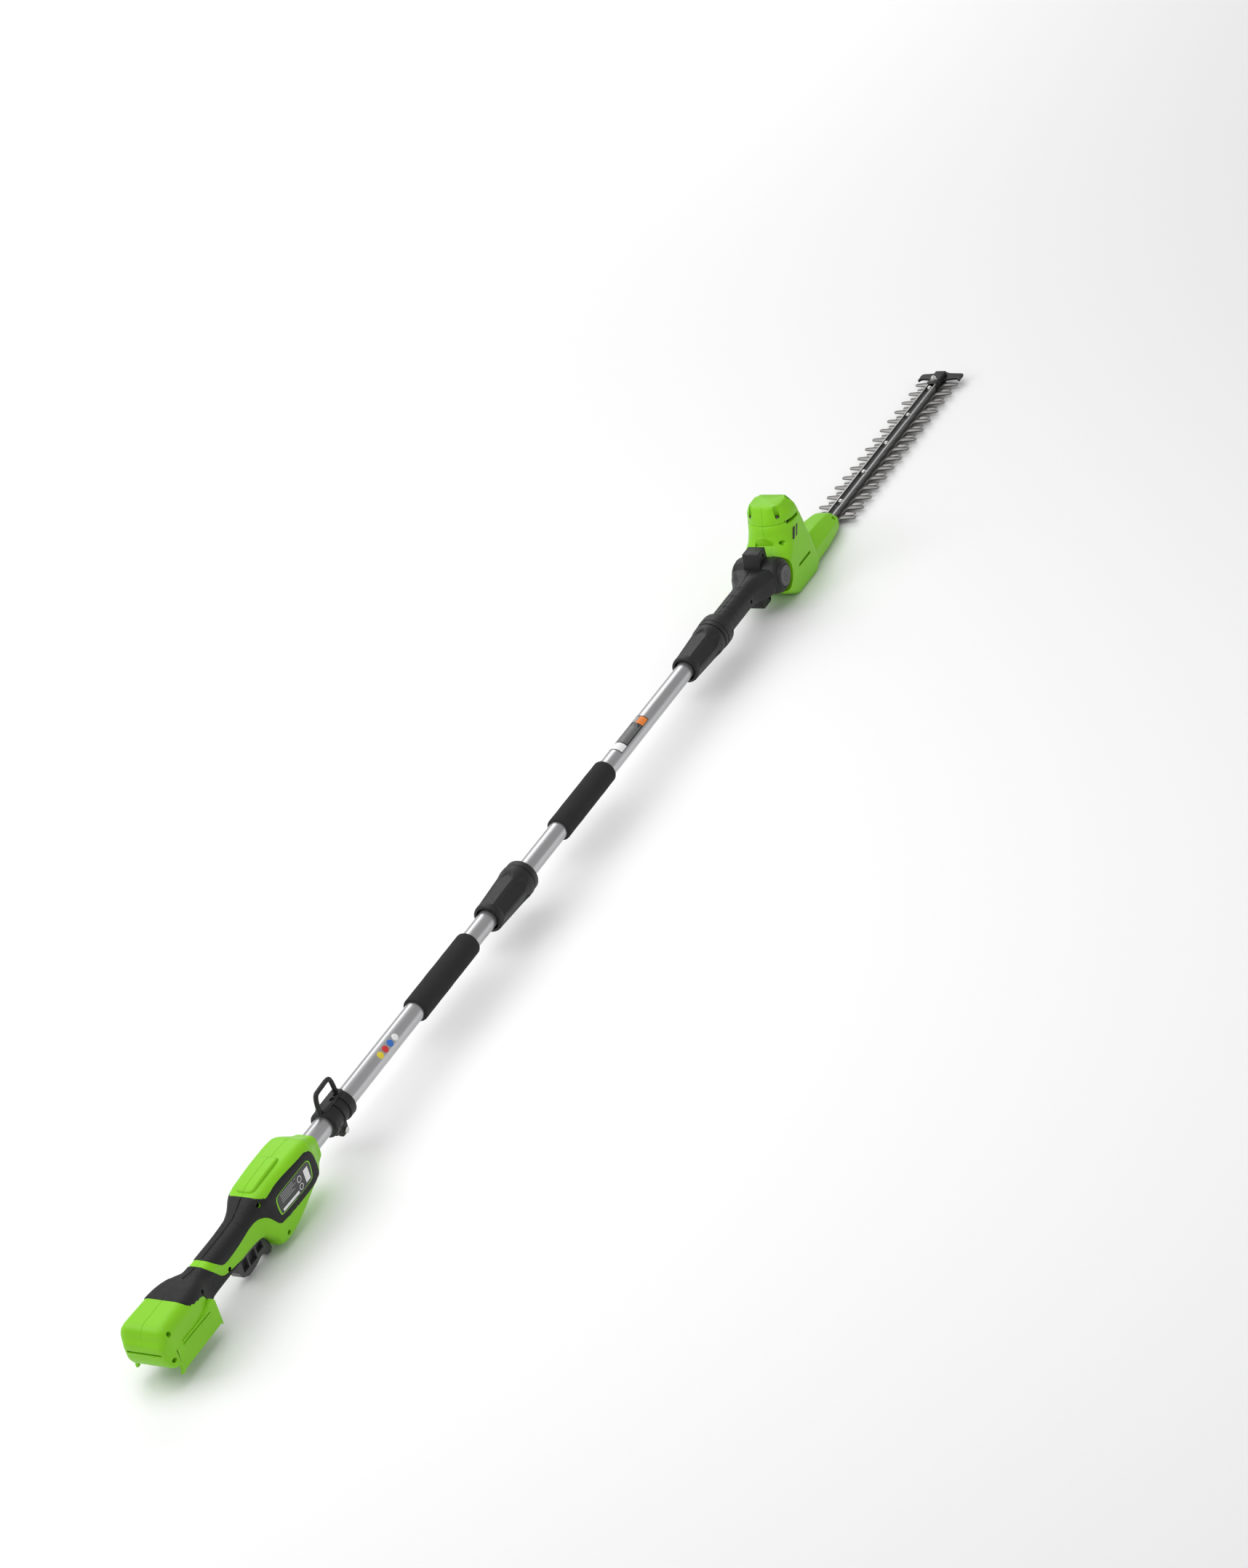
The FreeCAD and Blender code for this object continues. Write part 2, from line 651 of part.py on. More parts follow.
socket_steps = [("spigot_len", "thread_r"), ("joint_gap", "thread_r + 2"), ("collar_len", "collar_r")]
socket_bores = [
    ("0", "14", "7 + body_gap"),
    ("14", "spigot_len", "lead_r + 0.2"),
    ("spigot_len - 12", "collar_len + joint_gap + 12", "tube_od / 2"),
]
turned("coupling_socket", on_axis(collar - d.joint_gap - d.spigot_len), "x", socket_steps, socket_bores)
tube("middle_tube", collar - d.joint_gap - 12, "collar_len + joint_gap + 12 + middle_exposed + 44")
foam("foam_grip_upper", collar_end + d.foam_upper)
ferrule("ferrule_upper", nut_upper + tube_tail - 11.5)
coupler_nut("coupler_nut_upper", nut_upper)
plug("plug_middle", nut_upper + tube_tail - 10)
middle_lead = collar - d.joint_gap - d.spigot_len + 14
lead("lead_middle", middle_lead, "spigot_len + joint_gap - 14 + collar_len + middle_exposed + 34")

# Strap clamp: a split ring with two ears below and a loop above.
clamp_x = handle_front + d.clamp_start
clamp_end = clamp_x + d.clamp_len
ear_x = clamp_x + d.clamp_len / 2 + 3
ear_drop = d.clamp_r + 8.5
clamp = along(clamp_x, clamp_end, d.clamp_r)
for x in (clamp_x, clamp_end - 10):
    clamp = clamp.fuse(along(x, x + 10, d.clamp_r + 1.5))
clamp = clamp.fuse(box(ear_x - 10, ear_x + 6, -7, 7, -ear_drop - 5.5, -10))
clamp = clamp.fuse(box(clamp_x, clamp_end - 3, -6, 6, 10, d.clamp_r + 5))
clamp = clamp.cut(along(clamp_x - 1, clamp_end + 1, d.tube_od / 2 + d.fit_gap))
clamp = clamp.cut(box(clamp_x - 1, clamp_end + 1, -1.5, 1.5, -60, -5))
clamp = clamp.cut(rod(ear_x, -ear_drop, 2.6, -20, 20))
loop_low = d.clamp_r + 3
loop_outline = [(0, loop_low), (1, 45), (8, 50.5), (30, 50.5), (37, 46), (44, loop_low)]
loop_hole = [(5, loop_low + 3), (7, 42), (11, 45), (27, 45), (31, 43), (36, loop_low + 3)]
loop = side_prism([(clamp_x + x, z) for x, z in loop_outline], d.loop_rod / 2)
loop = loop.cut(side_prism([(clamp_x + x, z) for x, z in loop_hole], 20))
feature("strap_clamp", clamp.fuse(loop))
turned("clamp_bolt", Vector(ear_x, -10.5, axis_z - ear_drop), "y", [("3.5", "4.2"), ("17.5", "2.5")])

# ---------------------------------------------------------------- neck and knuckle

turned(
    "neck_spigot",
    on_axis(flange - d.joint_gap - d.spigot_len),
    "x",
    [("spigot_len + joint_gap", "thread_r"), ("20", "16")],
    [("0", "14", "7 + body_gap"), ("14", "spigot_len + joint_gap + 6", "lead_r + 0.2")],
)
neck = along(flange, flange + 12, d.flange_r)
neck = neck.fuse(along(flange + 12, flange + 15, d.flange_r - 1.5))
neck = neck.fuse(along(flange + 15, flange + 28, d.flange_r - 0.5))
shoulder = Part.makeCone(d.flange_r - 0.5, d.neck_r, d.flange_len - 28, on_axis(flange + 28), Vector(1, 0, 0))
neck = neck.fuse([shoulder, along(flange + d.flange_len, neck_front, d.neck_r)])
flare = loft(
    [
        (neck_front, d.neck_r, d.neck_r, -d.neck_r, d.neck_r - 0.5, d.neck_r - 0.5),
        (neck_front + 22, 25, 21.5, -21.5, 18, 18),
        (pivot - 32, 35, 22.5, -22.5, 14, 14),
        (pivot - 16, d.drum_half - 1, 21, -21, 8, 8),
        (pivot - 8, d.drum_half - 1, 19, -19, 6, 6),
    ]
)
neck = neck.fuse([flare, rod(pivot, 0, d.drum_r, -d.drum_half, d.drum_half)])
neck = neck.fuse(box(pivot - 18, pivot + 9, -14.5, 14.5, 15, 46))
neck = neck.fuse(box(pivot - 40, pivot - 7, -14, 14, -41, -15))
hub_room = d.hub_half + 1
disc_y = -d.hub_half - 4
neck_cuts = [
    along(flange - 1, flange + 20, 16),
    along(flange + 19, neck_front + 22, 13),
    rod(pivot, 0, d.hub_r + d.drum_gap, disc_y - 1, hub_room),
    box(pivot - 1, pivot + 60, disc_y - 1, hub_room, -60, 27),
    rod(pivot, 0, d.pivot_r, -20, 33),
    rod(pivot, 0, 8.2, 26, 33),
    rod(pivot, 0, d.button_r + 0.5, -60, 11 - d.drum_half),
    rod(pivot, 0, 8.6, -35, disc_y),
    rod(pivot, 0, d.button_r, d.drum_half - 7, 60),
]
for cut in neck_cuts:
    neck = neck.cut(cut)
neck_screws = [
    (flange + 22, -20.5),
    (neck_front - 8, -15),
    (pivot - 6, 38),
    (pivot - 14, -33.5),
]
neck = drill_screws(neck, neck_screws, -8, 15, 60)
halves("neck_shell_left", "neck_shell_right", neck)
screw_group("neck_screws", neck_screws, -8, 15)


def across(y, z=0):
    """A point beside the tilt axis."""
    return Vector(pivot, y, axis_z + z)


turned("pivot_bolt", across(33), "-y", [("7", "8"), ("45", "pivot_r")])
turned("pivot_cap", across(d.drum_half - 7), "y", [("8", "button_r"), ("1.5", "button_r", "button_r - 2")])
turned(
    "release_button",
    across(5.5 - d.drum_half),
    "-y",
    [("6", "button_r"), ("1.5", "button_r", "button_r - 1.5")],
)
turned("button_spring", across(11 - d.drum_half), "-y", [("1", "14")], [("0", "1", "9")])

# ---------------------------------------------------------------- head

tower = tower_loft(
    [
        (-d.head_drop, pivot + 41, pivot + 118, d.head_half - 10, 8, 12),
        (-46, pivot + 22, pivot + 130, d.head_half - 3, 8, 14),
        (-34, pivot + 1, pivot + 128, d.head_half - 1, 8, 14),
        (10, pivot + 4, pivot + 118, d.head_half + 1, 8, 14),
        (24, pivot + 18, pivot + 114, d.head_half + 1, 8, 14),
        (36, pivot + 33, pivot + 111, d.head_half + 1, 8, 14),
        (44, pivot + 38, pivot + 108, d.head_half + 1, 9, 14),
        (d.cap_split, pivot + 38.5, pivot + 103, d.head_half, 10, 14),
        (d.head_top - 17, pivot + 40, pivot + 100, d.head_half - 2, 10, 13),
        (d.head_top, pivot + 52, pivot + 97, d.head_half - 16, 8, 8),
    ]
)
snout = facet_loft(
    [
        (pivot + 100, 36, -9, -57, 14, 18, 8),
        (pivot + 150, 33, -12, -56, 13, 18, 7),
        (pivot + 181, 31.5, -13, -56, 12, 18, 7),
        (pivot + 238, 25, -21, -55, 11, 13, 6),
        (pivot + 258, 17.5, -31, -54.5, 5, 6, 2),
    ]
)
head = tower.fuse(snout)
drum_room = d.drum_r + d.drum_gap
lug_sweep = rod(pivot, 0, 47.5, -16, 16).common(
    side_prism([(pivot - 60, 0), (pivot, 0), (pivot + 30, -45), (pivot + 30, -80), (pivot - 60, -80)], 16)
)
block_sweep = side_prism(
    [(pivot - 30, 0), (pivot, 0), (pivot + 36.5, 31.7), (pivot + 36.5, 60), (pivot - 30, 60)], 16.5
)
tongue = box(pivot + 15, pivot + 44, -9, 9, -14, 14)
head_cuts = [
    rod(pivot, 0, drum_room, -60, 60),
    lug_sweep,
    block_sweep,
    tongue,
    upright(motor_x, d.motor_r + 0.5, -14, d.head_top - 15),
    upright(motor_x, 7, -30, 0),
    box(motor_x - 12, pivot + 129, -28.5, 28.5, -57, -22),
    box(pivot + 128, pivot + 240, -16, 16, -57, -36),
    box(pivot + 239, pivot + 262, -13, 13, -60, -37),
    box(motor_x - 12, pivot + 200, -28.5, 28.5, -60, -57),
]
for x0, x1, z0, z1 in ((46, 77, 64, 70), (52, 92, -13, -7)):
    for side in (-1, 1):
        y0, y1 = sorted((side * (d.head_half - 7), side * (d.head_half + 4)))
        head_cuts.append(box(pivot + x0, pivot + x1, y0, y1, z0, z1))
for cut in head_cuts:
    head = head.cut(cut)
head_screws = [(pivot + 57, 80), (pivot + 90, 80), (pivot + 44, 36), (pivot + 238, -31)]
head = drill_screws(head, head_screws, -8, 20, 60)
split = box(pivot - 60, tip, -80, 80, d.cap_split, 140)
feature("motor_cap", head.common(split))
halves("head_shell_left", "head_shell_right", head.cut(split))
screw_group("head_screws", head_screws, -8, 20)

hub = rod(pivot, 0, d.hub_r, -d.hub_half, d.hub_half).fuse(tongue)
hub = hub.cut(rod(pivot, 0, d.pivot_r + d.fit_gap, -30, 30))
feature("tilt_hub", hub)
detents = 36
notch_r = 1.2
disc = rod(pivot, 0, d.hub_r - 1, disc_y, -d.hub_half).cut(rod(pivot, 0, d.pivot_r + d.fit_gap, -30, 30))
notches = []
for index in range(detents):
    angle = 2 * math.pi * index / detents
    spot = (pivot + (d.hub_r - 1) * math.cos(angle), (d.hub_r - 1) * math.sin(angle))
    notches.append(rod(*spot, notch_r, disc_y - 1, 2 - d.hub_half))
feature("detent_disc", disc.cut(notches))

# Motor, reduction gear and crank.
can_low = -13
turned(
    "motor_can",
    Vector(motor_x, 0, axis_z + can_low),
    "z",
    [("4", "motor_r - 4", "motor_r"), ("56", "motor_r"), ("4", "motor_r", "motor_r - 5")],
    [("0", "64", "5"), ("4", "56", "motor_r - 5")],
)
shaft_low = -36
turned("motor_shaft", Vector(motor_x, 0, axis_z + shaft_low), "z", [("40", "3"), ("36", "13"), ("26", "3")])


def gear_outline(teeth, centre_turn):
    """A gear outline with straight-sided teeth a little thinner than their gaps."""
    pitch_r = d.gear_module * teeth / 2
    root_r = pitch_r - 1.2 * d.gear_module
    crest_r = pitch_r + 0.9 * d.gear_module
    step = 2 * math.pi / teeth
    points = []
    for index in range(int(teeth)):
        middle = centre_turn + step * index
        for turn, radius in ((-0.30, root_r), (-0.11, crest_r), (0.11, crest_r), (0.30, root_r)):
            angle = middle + turn * step
            points.append((radius * math.cos(angle), radius * math.sin(angle)))
    return points


gear_top = -26
pinion_turn = math.pi / d.pinion_teeth
plate(
    "pinion",
    Vector(motor_x, 0, axis_z + gear_top - d.gear_width),
    "XY_Plane",
    gear_outline(d.pinion_teeth, pinion_turn),
    "gear_width",
    [(0, 0, 3)],
)
gear_turn = math.pi + (0 if d.gear_teeth % 2 == 0 else math.pi / d.gear_teeth)
gear_blank = plate(
    "gear_blank",
    Vector(gear_x, 0, axis_z + gear_top - d.gear_width),
    "XY_Plane",
    gear_outline(d.gear_teeth, gear_turn),
    "gear_width",
    [(0, 0, 4 + d.fit_gap)],
)
pieces.pop("gear_blank")
crank_low = blade_top + d.blade_gap - axis_z
crank_pin = doc.addObject("Part::Cylinder", "crank_pin")
crank_pin.Radius = 4
crank_pin.Height = gear_top - d.gear_width - crank_low
crank_pin.Placement.Base = Vector(gear_x - d.throw, 0, axis_z + crank_low)
drive_gear = doc.addObject("Part::MultiFuse", "drive_gear")
drive_gear.Shapes = [gear_blank, crank_pin]
keep(drive_gear, "drive_gear")
turned("gear_axle", Vector(gear_x, 0, axis_z + gear_top - d.gear_width), "z", [("gear_width + 4", "4")])
fan_blades = upright(motor_x, 6, 52, 60)
for index in range(7):
    vane = box(motor_x + 4, motor_x + 19, -0.8, 0.8, 52, 60)
    fan_blades = fan_blades.fuse(vane.rotate(Vector(motor_x, 0, 0), Vector(0, 0, 1), 360 * index / 7))
feature("cooling_fan", fan_blades.cut(upright(motor_x, 3, 40, 80)))
cover_plate = doc.addObject("Part::Box", "gearcase_plate")
cover_plate.Length = pivot + 200 - motor_x + 12
cover_plate.Width = 57
cover_plate.Height = 2
keep(cover_plate, "gearcase_plate", Vector(motor_x - 12, -28.5, 0))

# ---------------------------------------------------------------- blade


def comb_outline(start, end, teeth, spine, reach, root, crest, lean):
    """One side of a toothed plate, back to front: teeth taper from root to crest half width."""
    points = [(start, spine)]
    for x in teeth:
        points += [(x - root, spine), (x - crest, reach - 4 - lean), (x - crest / 2, reach - lean)]
        points += [(x + crest / 2, reach), (x + crest, reach - 4 + lean), (x + root, spine)]
    return points + [(end, spine)]


def both_sides(side):
    """Close a plate's outline with the mirror of one side."""
    return side + [(x, -y) for x, y in reversed(side)]


def slot_outline(x, radius, reach):
    """A slotted hole along X, its round ends in eight facets each."""
    points = []
    for side, first in ((reach, -90), (-reach, 90)):
        for index in range(9):
            angle = math.radians(first + 22.5 * index)
            points.append((x + side + radius * math.cos(angle), radius * math.sin(angle)))
    return points


guard_teeth = [first_tooth + d.tooth_pitch * i for i in range(int(d.tooth_count))]
moving_teeth = [x + d.tooth_pitch / 2 for x in guard_teeth[:-1]]
bar_start = pivot + 200
bar_end = tip - 40
tip_screw_x = tip - 48
bolt_spots = [x + 1.1 * d.tooth_pitch for x in guard_teeth[:: int(d.bolt_every)]]
plate(
    "guard_comb",
    Vector(0, 0, comb_bottom),
    "XY_Plane",
    both_sides(comb_outline(bar_start, tip - 26, guard_teeth, d.comb_half, d.comb_reach, 8, 4.6, 0)),
    "comb_thick",
    [(x, 0, d.bolt_r) for x in bolt_spots + [tip_screw_x]],
)
rod_big_x = gear_x - d.throw
moving_start = bar_start - 20
moving = plate(
    "moving_blade",
    Vector(0, 0, blade_bottom),
    "XY_Plane",
    both_sides(
        comb_outline(moving_start, tip - 34, moving_teeth, d.blade_half, d.blade_reach, 7, 4.4, 1.5)
    ),
    "blade_thick",
)
moving_sketch = doc.getObject("moving_blade_sketch")
slots = [(x, d.throw + 1) for x in bolt_spots[:-1]]
last_gap = tip_screw_x - bolt_spots[-1]
slots.append((bolt_spots[-1] + last_gap / 2, d.throw + 1 + last_gap / 2))
for x, reach in slots:
    add_loop(moving_sketch, slot_outline(x, d.bolt_r + d.body_gap, reach))
rod_outline = [(rod_big_x - 9, -5), (rod_big_x - 9, 5), (rod_big_x - 5, 9), (rod_big_x + 5, 9)]
rod_outline += [(rod_big_x + 12, 6), (moving_start, 6), (moving_start, -6), (rod_big_x + 12, -6)]
rod_outline += [(rod_big_x + 5, -9), (rod_big_x - 5, -9)]
plate("connecting_rod", Vector(0, 0, blade_bottom), "XY_Plane", rod_outline, "blade_thick", [(rod_big_x, 0, 4.1)])

channel = doc.addObject("Part::Box", "bar_block")
channel.Length = bar_end - bar_start
bind(channel, "Width", "2 * bar_half")
bind(channel, "Height", "bar_height")
channel.Placement.Base = Vector(0, 0, 0)
groove = doc.addObject("Part::Box", "bar_groove")
groove.Length = bar_end - bar_start
bind(groove, "Width", "2 * bar_half - 2 * bar_wall")
bind(groove, "Height", "bar_height")
bind(groove, "Placement.Base.y", "bar_wall")
bind(groove, "Placement.Base.z", "bar_wall")
bar_holes = []
for index, x in enumerate(bolt_spots + [tip_screw_x]):
    hole = doc.addObject("Part::Cylinder", "bar_hole%d" % index)
    bind(hole, "Radius", "bolt_r")
    hole.Height = 3
    hole.Placement.Base = Vector(x - bar_start, d.bar_half, -1)
    bar_holes.append(hole)
bar_cut = doc.addObject("Part::Cut", "support_bar")
bar_cut.Base = channel
bar_cut.Tool = merge("bar_tools", [groove] + bar_holes)
keep(bar_cut, "support_bar", Vector(bar_start, -d.bar_half, comb_top))

bolt_low = 2 - axis_z
bolts = []
washers = []
for x in bolt_spots:
    shank = upright(x, d.bolt_r, bolt_low, d.bar_wall - d.blade_drop)
    bolts.append(shank.fuse(upright(x, 4.5, d.bar_wall - d.blade_drop, d.bar_wall - d.blade_drop + 5)))
    ring = upright(x, 6, bolt_low + 1, blade_bottom - axis_z - d.blade_gap)
    washers.append(ring.cut(upright(x, d.bolt_r, -70, 0)))
feature("blade_bolts", Part.makeCompound(bolts))
feature("blade_washers", Part.makeCompound(washers))

wing = [(tip - 32, 9), (tip - 27, 34), (tip - 31, 37.5), (tip - 16, 38), (tip - 7, 32), (tip - 1, 8), (tip, 4)]
wing_wire = [Vector(x, y, comb_top) for x, y in both_sides(wing)]
guard = Part.Face(Part.makePolygon(wing_wire + wing_wire[:1])).extrude(Vector(0, 0, 4))
block_low = -d.blade_drop
block = side_prism(
    [
        (tip - 60, block_low),
        (tip - 60, block_low + 9),
        (tip - 56, block_low + 13),
        (tip - 16, block_low + 13),
        (tip - 10, block_low),
    ],
    9.4,
)
guard = guard.fuse(block)
guard = guard.cut(box(bar_start, bar_end, -d.bar_half, d.bar_half, -60, block_low + d.bar_height))
guard = guard.cut(upright(tip_screw_x, d.bolt_r, -70, 0))
feature("tip_guard", guard)
turned(
    "tip_screw",
    Vector(tip_screw_x, 0, comb_top + 17),
    "-z",
    [("1.5", "3", "5"), ("2.5", "5"), ("23", "bolt_r")],
)

# ---------------------------------------------------------------- checks and export

doc.recompute()
faults = [item.Name for item in doc.Objects if {"Invalid", "Error"} & set(item.State)]
for label, item in pieces.items():
    if item.Shape.isNull() or not item.Shape.isValid() or not item.Shape.Solids:
        faults.append(label)
if faults:
    raise RuntimeError("objects that failed: " + ", ".join(sorted(set(faults))))
os.makedirs("parts", exist_ok=True)
for label, item in pieces.items():
    item.Shape.exportStep("parts/%s.step" % label)
print("%d sub-parts, overall %.0f mm, axis height %.0f mm" % (len(pieces), tip - rear, axis_z))
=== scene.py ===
import bpy
import bmesh
import json
import numpy as np
from mathutils import Matrix, Vector


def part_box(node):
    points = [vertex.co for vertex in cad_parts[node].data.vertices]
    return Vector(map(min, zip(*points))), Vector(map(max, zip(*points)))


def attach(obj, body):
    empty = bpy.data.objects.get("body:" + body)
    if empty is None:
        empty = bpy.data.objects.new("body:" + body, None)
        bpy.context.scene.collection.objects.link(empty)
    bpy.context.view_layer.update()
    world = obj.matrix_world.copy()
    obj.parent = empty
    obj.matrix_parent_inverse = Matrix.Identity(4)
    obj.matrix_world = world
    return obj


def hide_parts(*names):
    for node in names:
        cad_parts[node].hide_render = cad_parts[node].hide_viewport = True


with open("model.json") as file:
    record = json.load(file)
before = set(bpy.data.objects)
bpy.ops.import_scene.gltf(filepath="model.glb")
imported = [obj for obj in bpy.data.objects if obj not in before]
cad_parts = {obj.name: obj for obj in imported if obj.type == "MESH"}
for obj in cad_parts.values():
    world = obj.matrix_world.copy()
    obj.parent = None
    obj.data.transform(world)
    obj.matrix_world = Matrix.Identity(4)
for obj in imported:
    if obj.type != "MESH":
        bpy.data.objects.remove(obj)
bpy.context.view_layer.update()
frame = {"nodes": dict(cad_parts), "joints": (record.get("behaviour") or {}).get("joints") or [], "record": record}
nodes = frame["nodes"]
joints = {joint["name"]: joint for joint in frame["joints"]}
mm = 0.001
pivotX, _, axisZ = joints["head_tilt"]["pos_m"]
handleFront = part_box("rear_shell_left")[1].x
print("frame loaded:", len(nodes), "nodes")


# ---- camera, light and floor

stageSetup = {
    "cameraPosition": (-3.5402, -2.3406, 2.3893),
    "lens": 76.6,
    "floorColour": (0.93, 0.93, 0.93, 1),
    "worldStrength": 0.42,
    # name: place, aimed at, width, height, watts
    "lamps": {
        "softTop": ((-0.6, 0.4, 2.6), (0.2, 0, 0), 3.2, 2.0, 40),
        "softLeft": ((-1.8, 1.8, 1.8), (0, 0, 0.05), 2.4, 1.2, 30),
        "softFront": ((-0.4, -2.6, 1.6), (0, 0, 0.05), 3.0, 1.2, 6),
        "backdrop": ((3.7, 2.6, 2.8), (3.5, 2.4, 0), 3.4, 3.4, 90),
    },
}


def buildStage():
    # The camera's axes are given as its right, up and back directions.
    axes = ((0.42300, -0.87535, -0.23416), (0.54145, 0.03696, 0.83992),
            (-0.72657, -0.48207, 0.48959))
    data = bpy.data.cameras.new("studioCamera")
    data.lens = stageSetup["lens"]
    data.clip_end = 50
    camera = bpy.data.objects.new("studioCamera", data)
    turned = Matrix(axes).transposed().to_4x4()
    camera.matrix_world = Matrix.Translation(stageSetup["cameraPosition"]) @ turned
    bpy.context.scene.collection.objects.link(camera)
    bpy.context.scene.camera = camera
    for name, (place, aim, width, height, watts) in stageSetup["lamps"].items():
        lamp = bpy.data.lights.new(name, "AREA")
        lamp.shape = "RECTANGLE"
        lamp.size, lamp.size_y, lamp.energy = width, height, watts
        holder = bpy.data.objects.new(name, lamp)
        holder.location = place
        holder.rotation_mode = "QUATERNION"
        holder.rotation_quaternion = (Vector(aim) - Vector(place)).to_track_quat("-Z", "Y")
        bpy.context.scene.collection.objects.link(holder)
    world = bpy.data.worlds.new("studioWorld")
    world.use_nodes = True
    world.node_tree.nodes["Background"].inputs["Color"].default_value = (1, 1, 1, 1)
    world.node_tree.nodes["Background"].inputs["Strength"].default_value = stageSetup["worldStrength"]
    bpy.context.scene.world = world
    bpy.context.scene.view_settings.view_transform = "Standard"
    sheet = bpy.data.meshes.new("floor")
    sheet.from_pydata([(-15, -15, 0), (15, -15, 0), (15, 15, 0), (-15, 15, 0)], [], [(0, 1, 2, 3)])
    floor = bpy.data.objects.new("floor", sheet)
    bpy.context.scene.collection.objects.link(floor)
    sheet.materials.append(makeMaterial("floorPaint", stageSetup["floorColour"], rough=0.9, grain=0, wear=0))


# ---- materials

def makeMaterial(name, colour, rough=0.5, metal=0.0, grain=0.15, grainSize=0.0006, wear=0.06,
                 stretch=(1, 1, 1), specular=0.5, mottle=0.004, roughSpread=0.1):
    # Base colour drifts a little with a wide noise, roughness with a finer one, and a fine noise gives
    # the moulded or ground grain as bump. Sizes are in metres, stretch squeezes the pattern along X, Y and Z.
    material = bpy.data.materials.new(name)
    material.use_nodes = True
    tree = material.node_tree
    shader = tree.nodes["Principled BSDF"]
    shader.inputs["Metallic"].default_value = metal
    shader.inputs["Specular IOR Level"].default_value = specular
    place = tree.nodes.new("ShaderNodeTexCoord")
    squeeze = tree.nodes.new("ShaderNodeMapping")
    squeeze.inputs["Scale"].default_value = stretch
    tree.links.new(place.outputs["Object"], squeeze.inputs["Vector"])

    def noise(size, detail):
        node = tree.nodes.new("ShaderNodeTexNoise")
        node.inputs["Scale"].default_value = 1 / size
        node.inputs["Detail"].default_value = detail
        tree.links.new(squeeze.outputs["Vector"], node.inputs["Vector"])
        return node.outputs["Fac"]

    def ramp(source, low, high):
        node = tree.nodes.new("ShaderNodeMapRange")
        node.inputs["From Min"].default_value = 0.3
        node.inputs["From Max"].default_value = 0.7
        node.inputs["To Min"].default_value = low
        node.inputs["To Max"].default_value = high
        tree.links.new(source, node.inputs["Value"])
        return node.outputs["Result"]

    drift = noise(mottle * 8, 3)
    blend = tree.nodes.new("ShaderNodeMix")
    blend.data_type = "RGBA"
    blend.inputs[6].default_value = (*[c * (1 - wear) for c in colour[:3]], 1)
    blend.inputs[7].default_value = (*[min(1, c * (1 + wear)) for c in colour[:3]], 1)
    tree.links.new(drift, blend.inputs[0])
    tree.links.new(blend.outputs[2], shader.inputs["Base Color"])
    sheen = ramp(noise(mottle, 4), rough - roughSpread / 2, rough + roughSpread / 2)
    tree.links.new(sheen, shader.inputs["Roughness"])
    if grain:
        bump = tree.nodes.new("ShaderNodeBump")
        bump.inputs["Strength"].default_value = grain
        bump.inputs["Distance"].default_value = grainSize * 0.5
        tree.links.new(noise(grainSize, 2), bump.inputs["Height"])
        tree.links.new(bump.outputs["Normal"], shader.inputs["Normal"])
    return material


finishes = {
    "green_plastic": dict(colour=(0.225, 0.600, 0.008), rough=0.42, specular=0.3, grain=0.10, wear=0.04),
    "black_plastic": dict(colour=(0.013, 0.013, 0.0135), rough=0.48, specular=0.35, grain=0.3,
                          grainSize=0.0008, wear=0.1),
    "grey_plastic": dict(colour=(0.062, 0.058, 0.066), rough=0.42, wear=0.08),
    "soft_grip": dict(colour=(0.011, 0.011, 0.0115), rough=0.6, specular=0.3, grain=0.35,
                      grainSize=0.0007, wear=0.1),
    "foam": dict(colour=(0.020, 0.020, 0.021), rough=0.88, specular=0.3, grain=0.9, grainSize=0.0011,
                 wear=0.18, mottle=0.002),
    "pole_aluminium": dict(colour=(0.50, 0.50, 0.51), rough=0.3, metal=0.85, grain=0.04,
                           stretch=(0.04, 1, 1), wear=0.02, roughSpread=0.04),
    "blade_steel": dict(colour=(0.20, 0.195, 0.19), rough=0.36, metal=1.0, grain=0.2, grainSize=0.0005,
                        stretch=(1, 0.06, 1), wear=0.15),
    "ground_steel": dict(colour=(0.27, 0.265, 0.26), rough=0.3, metal=1.0, grain=0.2,
                         stretch=(1, 0.06, 1), wear=0.1),
    "bar_steel": dict(colour=(0.24, 0.24, 0.24), rough=0.36, metal=1.0, grain=0.12,
                      stretch=(0.05, 1, 1), wear=0.1),
    "dark_steel": dict(colour=(0.115, 0.112, 0.115), rough=0.42, metal=1.0, wear=0.15),
    "bright_steel": dict(colour=(0.66, 0.66, 0.65), rough=0.3, metal=1.0, grain=0.1, wear=0.08),
    "label": dict(colour=(0.030, 0.030, 0.031), rough=0.35, grain=0, wear=0.05),
}
prints = {
    "orangePrint": ((0.8, 0.22, 0.03), 0.04), "yellowPrint": ((0.75, 0.6, 0.04), 0.04),
    "redPrint": ((0.6, 0.03, 0.03), 0.04), "bluePrint": ((0.03, 0.15, 0.55), 0.04),
    "whitePrint": ((0.82, 0.82, 0.82), 0.03), "greyPrint": ((0.34, 0.34, 0.34), 0.05),
}
for ink, (shade, drift) in prints.items():
    finishes[ink] = dict(colour=shade, rough=0.45, grain=0, wear=drift)
slotMaterial = {slot: makeMaterial(slot + "Finish", **values) for slot, values in finishes.items()}
buildStage()
nodeSlot = {part["node"]: part["material_slot"] for part in frame["record"]["subparts"]}
for label, item in nodes.items():
    item.data.materials.clear()
    item.data.materials.append(slotMaterial[nodeSlot[label]])
print("materials on every carried node")


# ---- how every new piece is made

zeroX = handleFront + 18 * mm  # stations below are millimetres from here, heights from the pole's axis


def toMetres(points):
    return np.asarray(points, float) * mm + (zeroX, 0, axisZ)


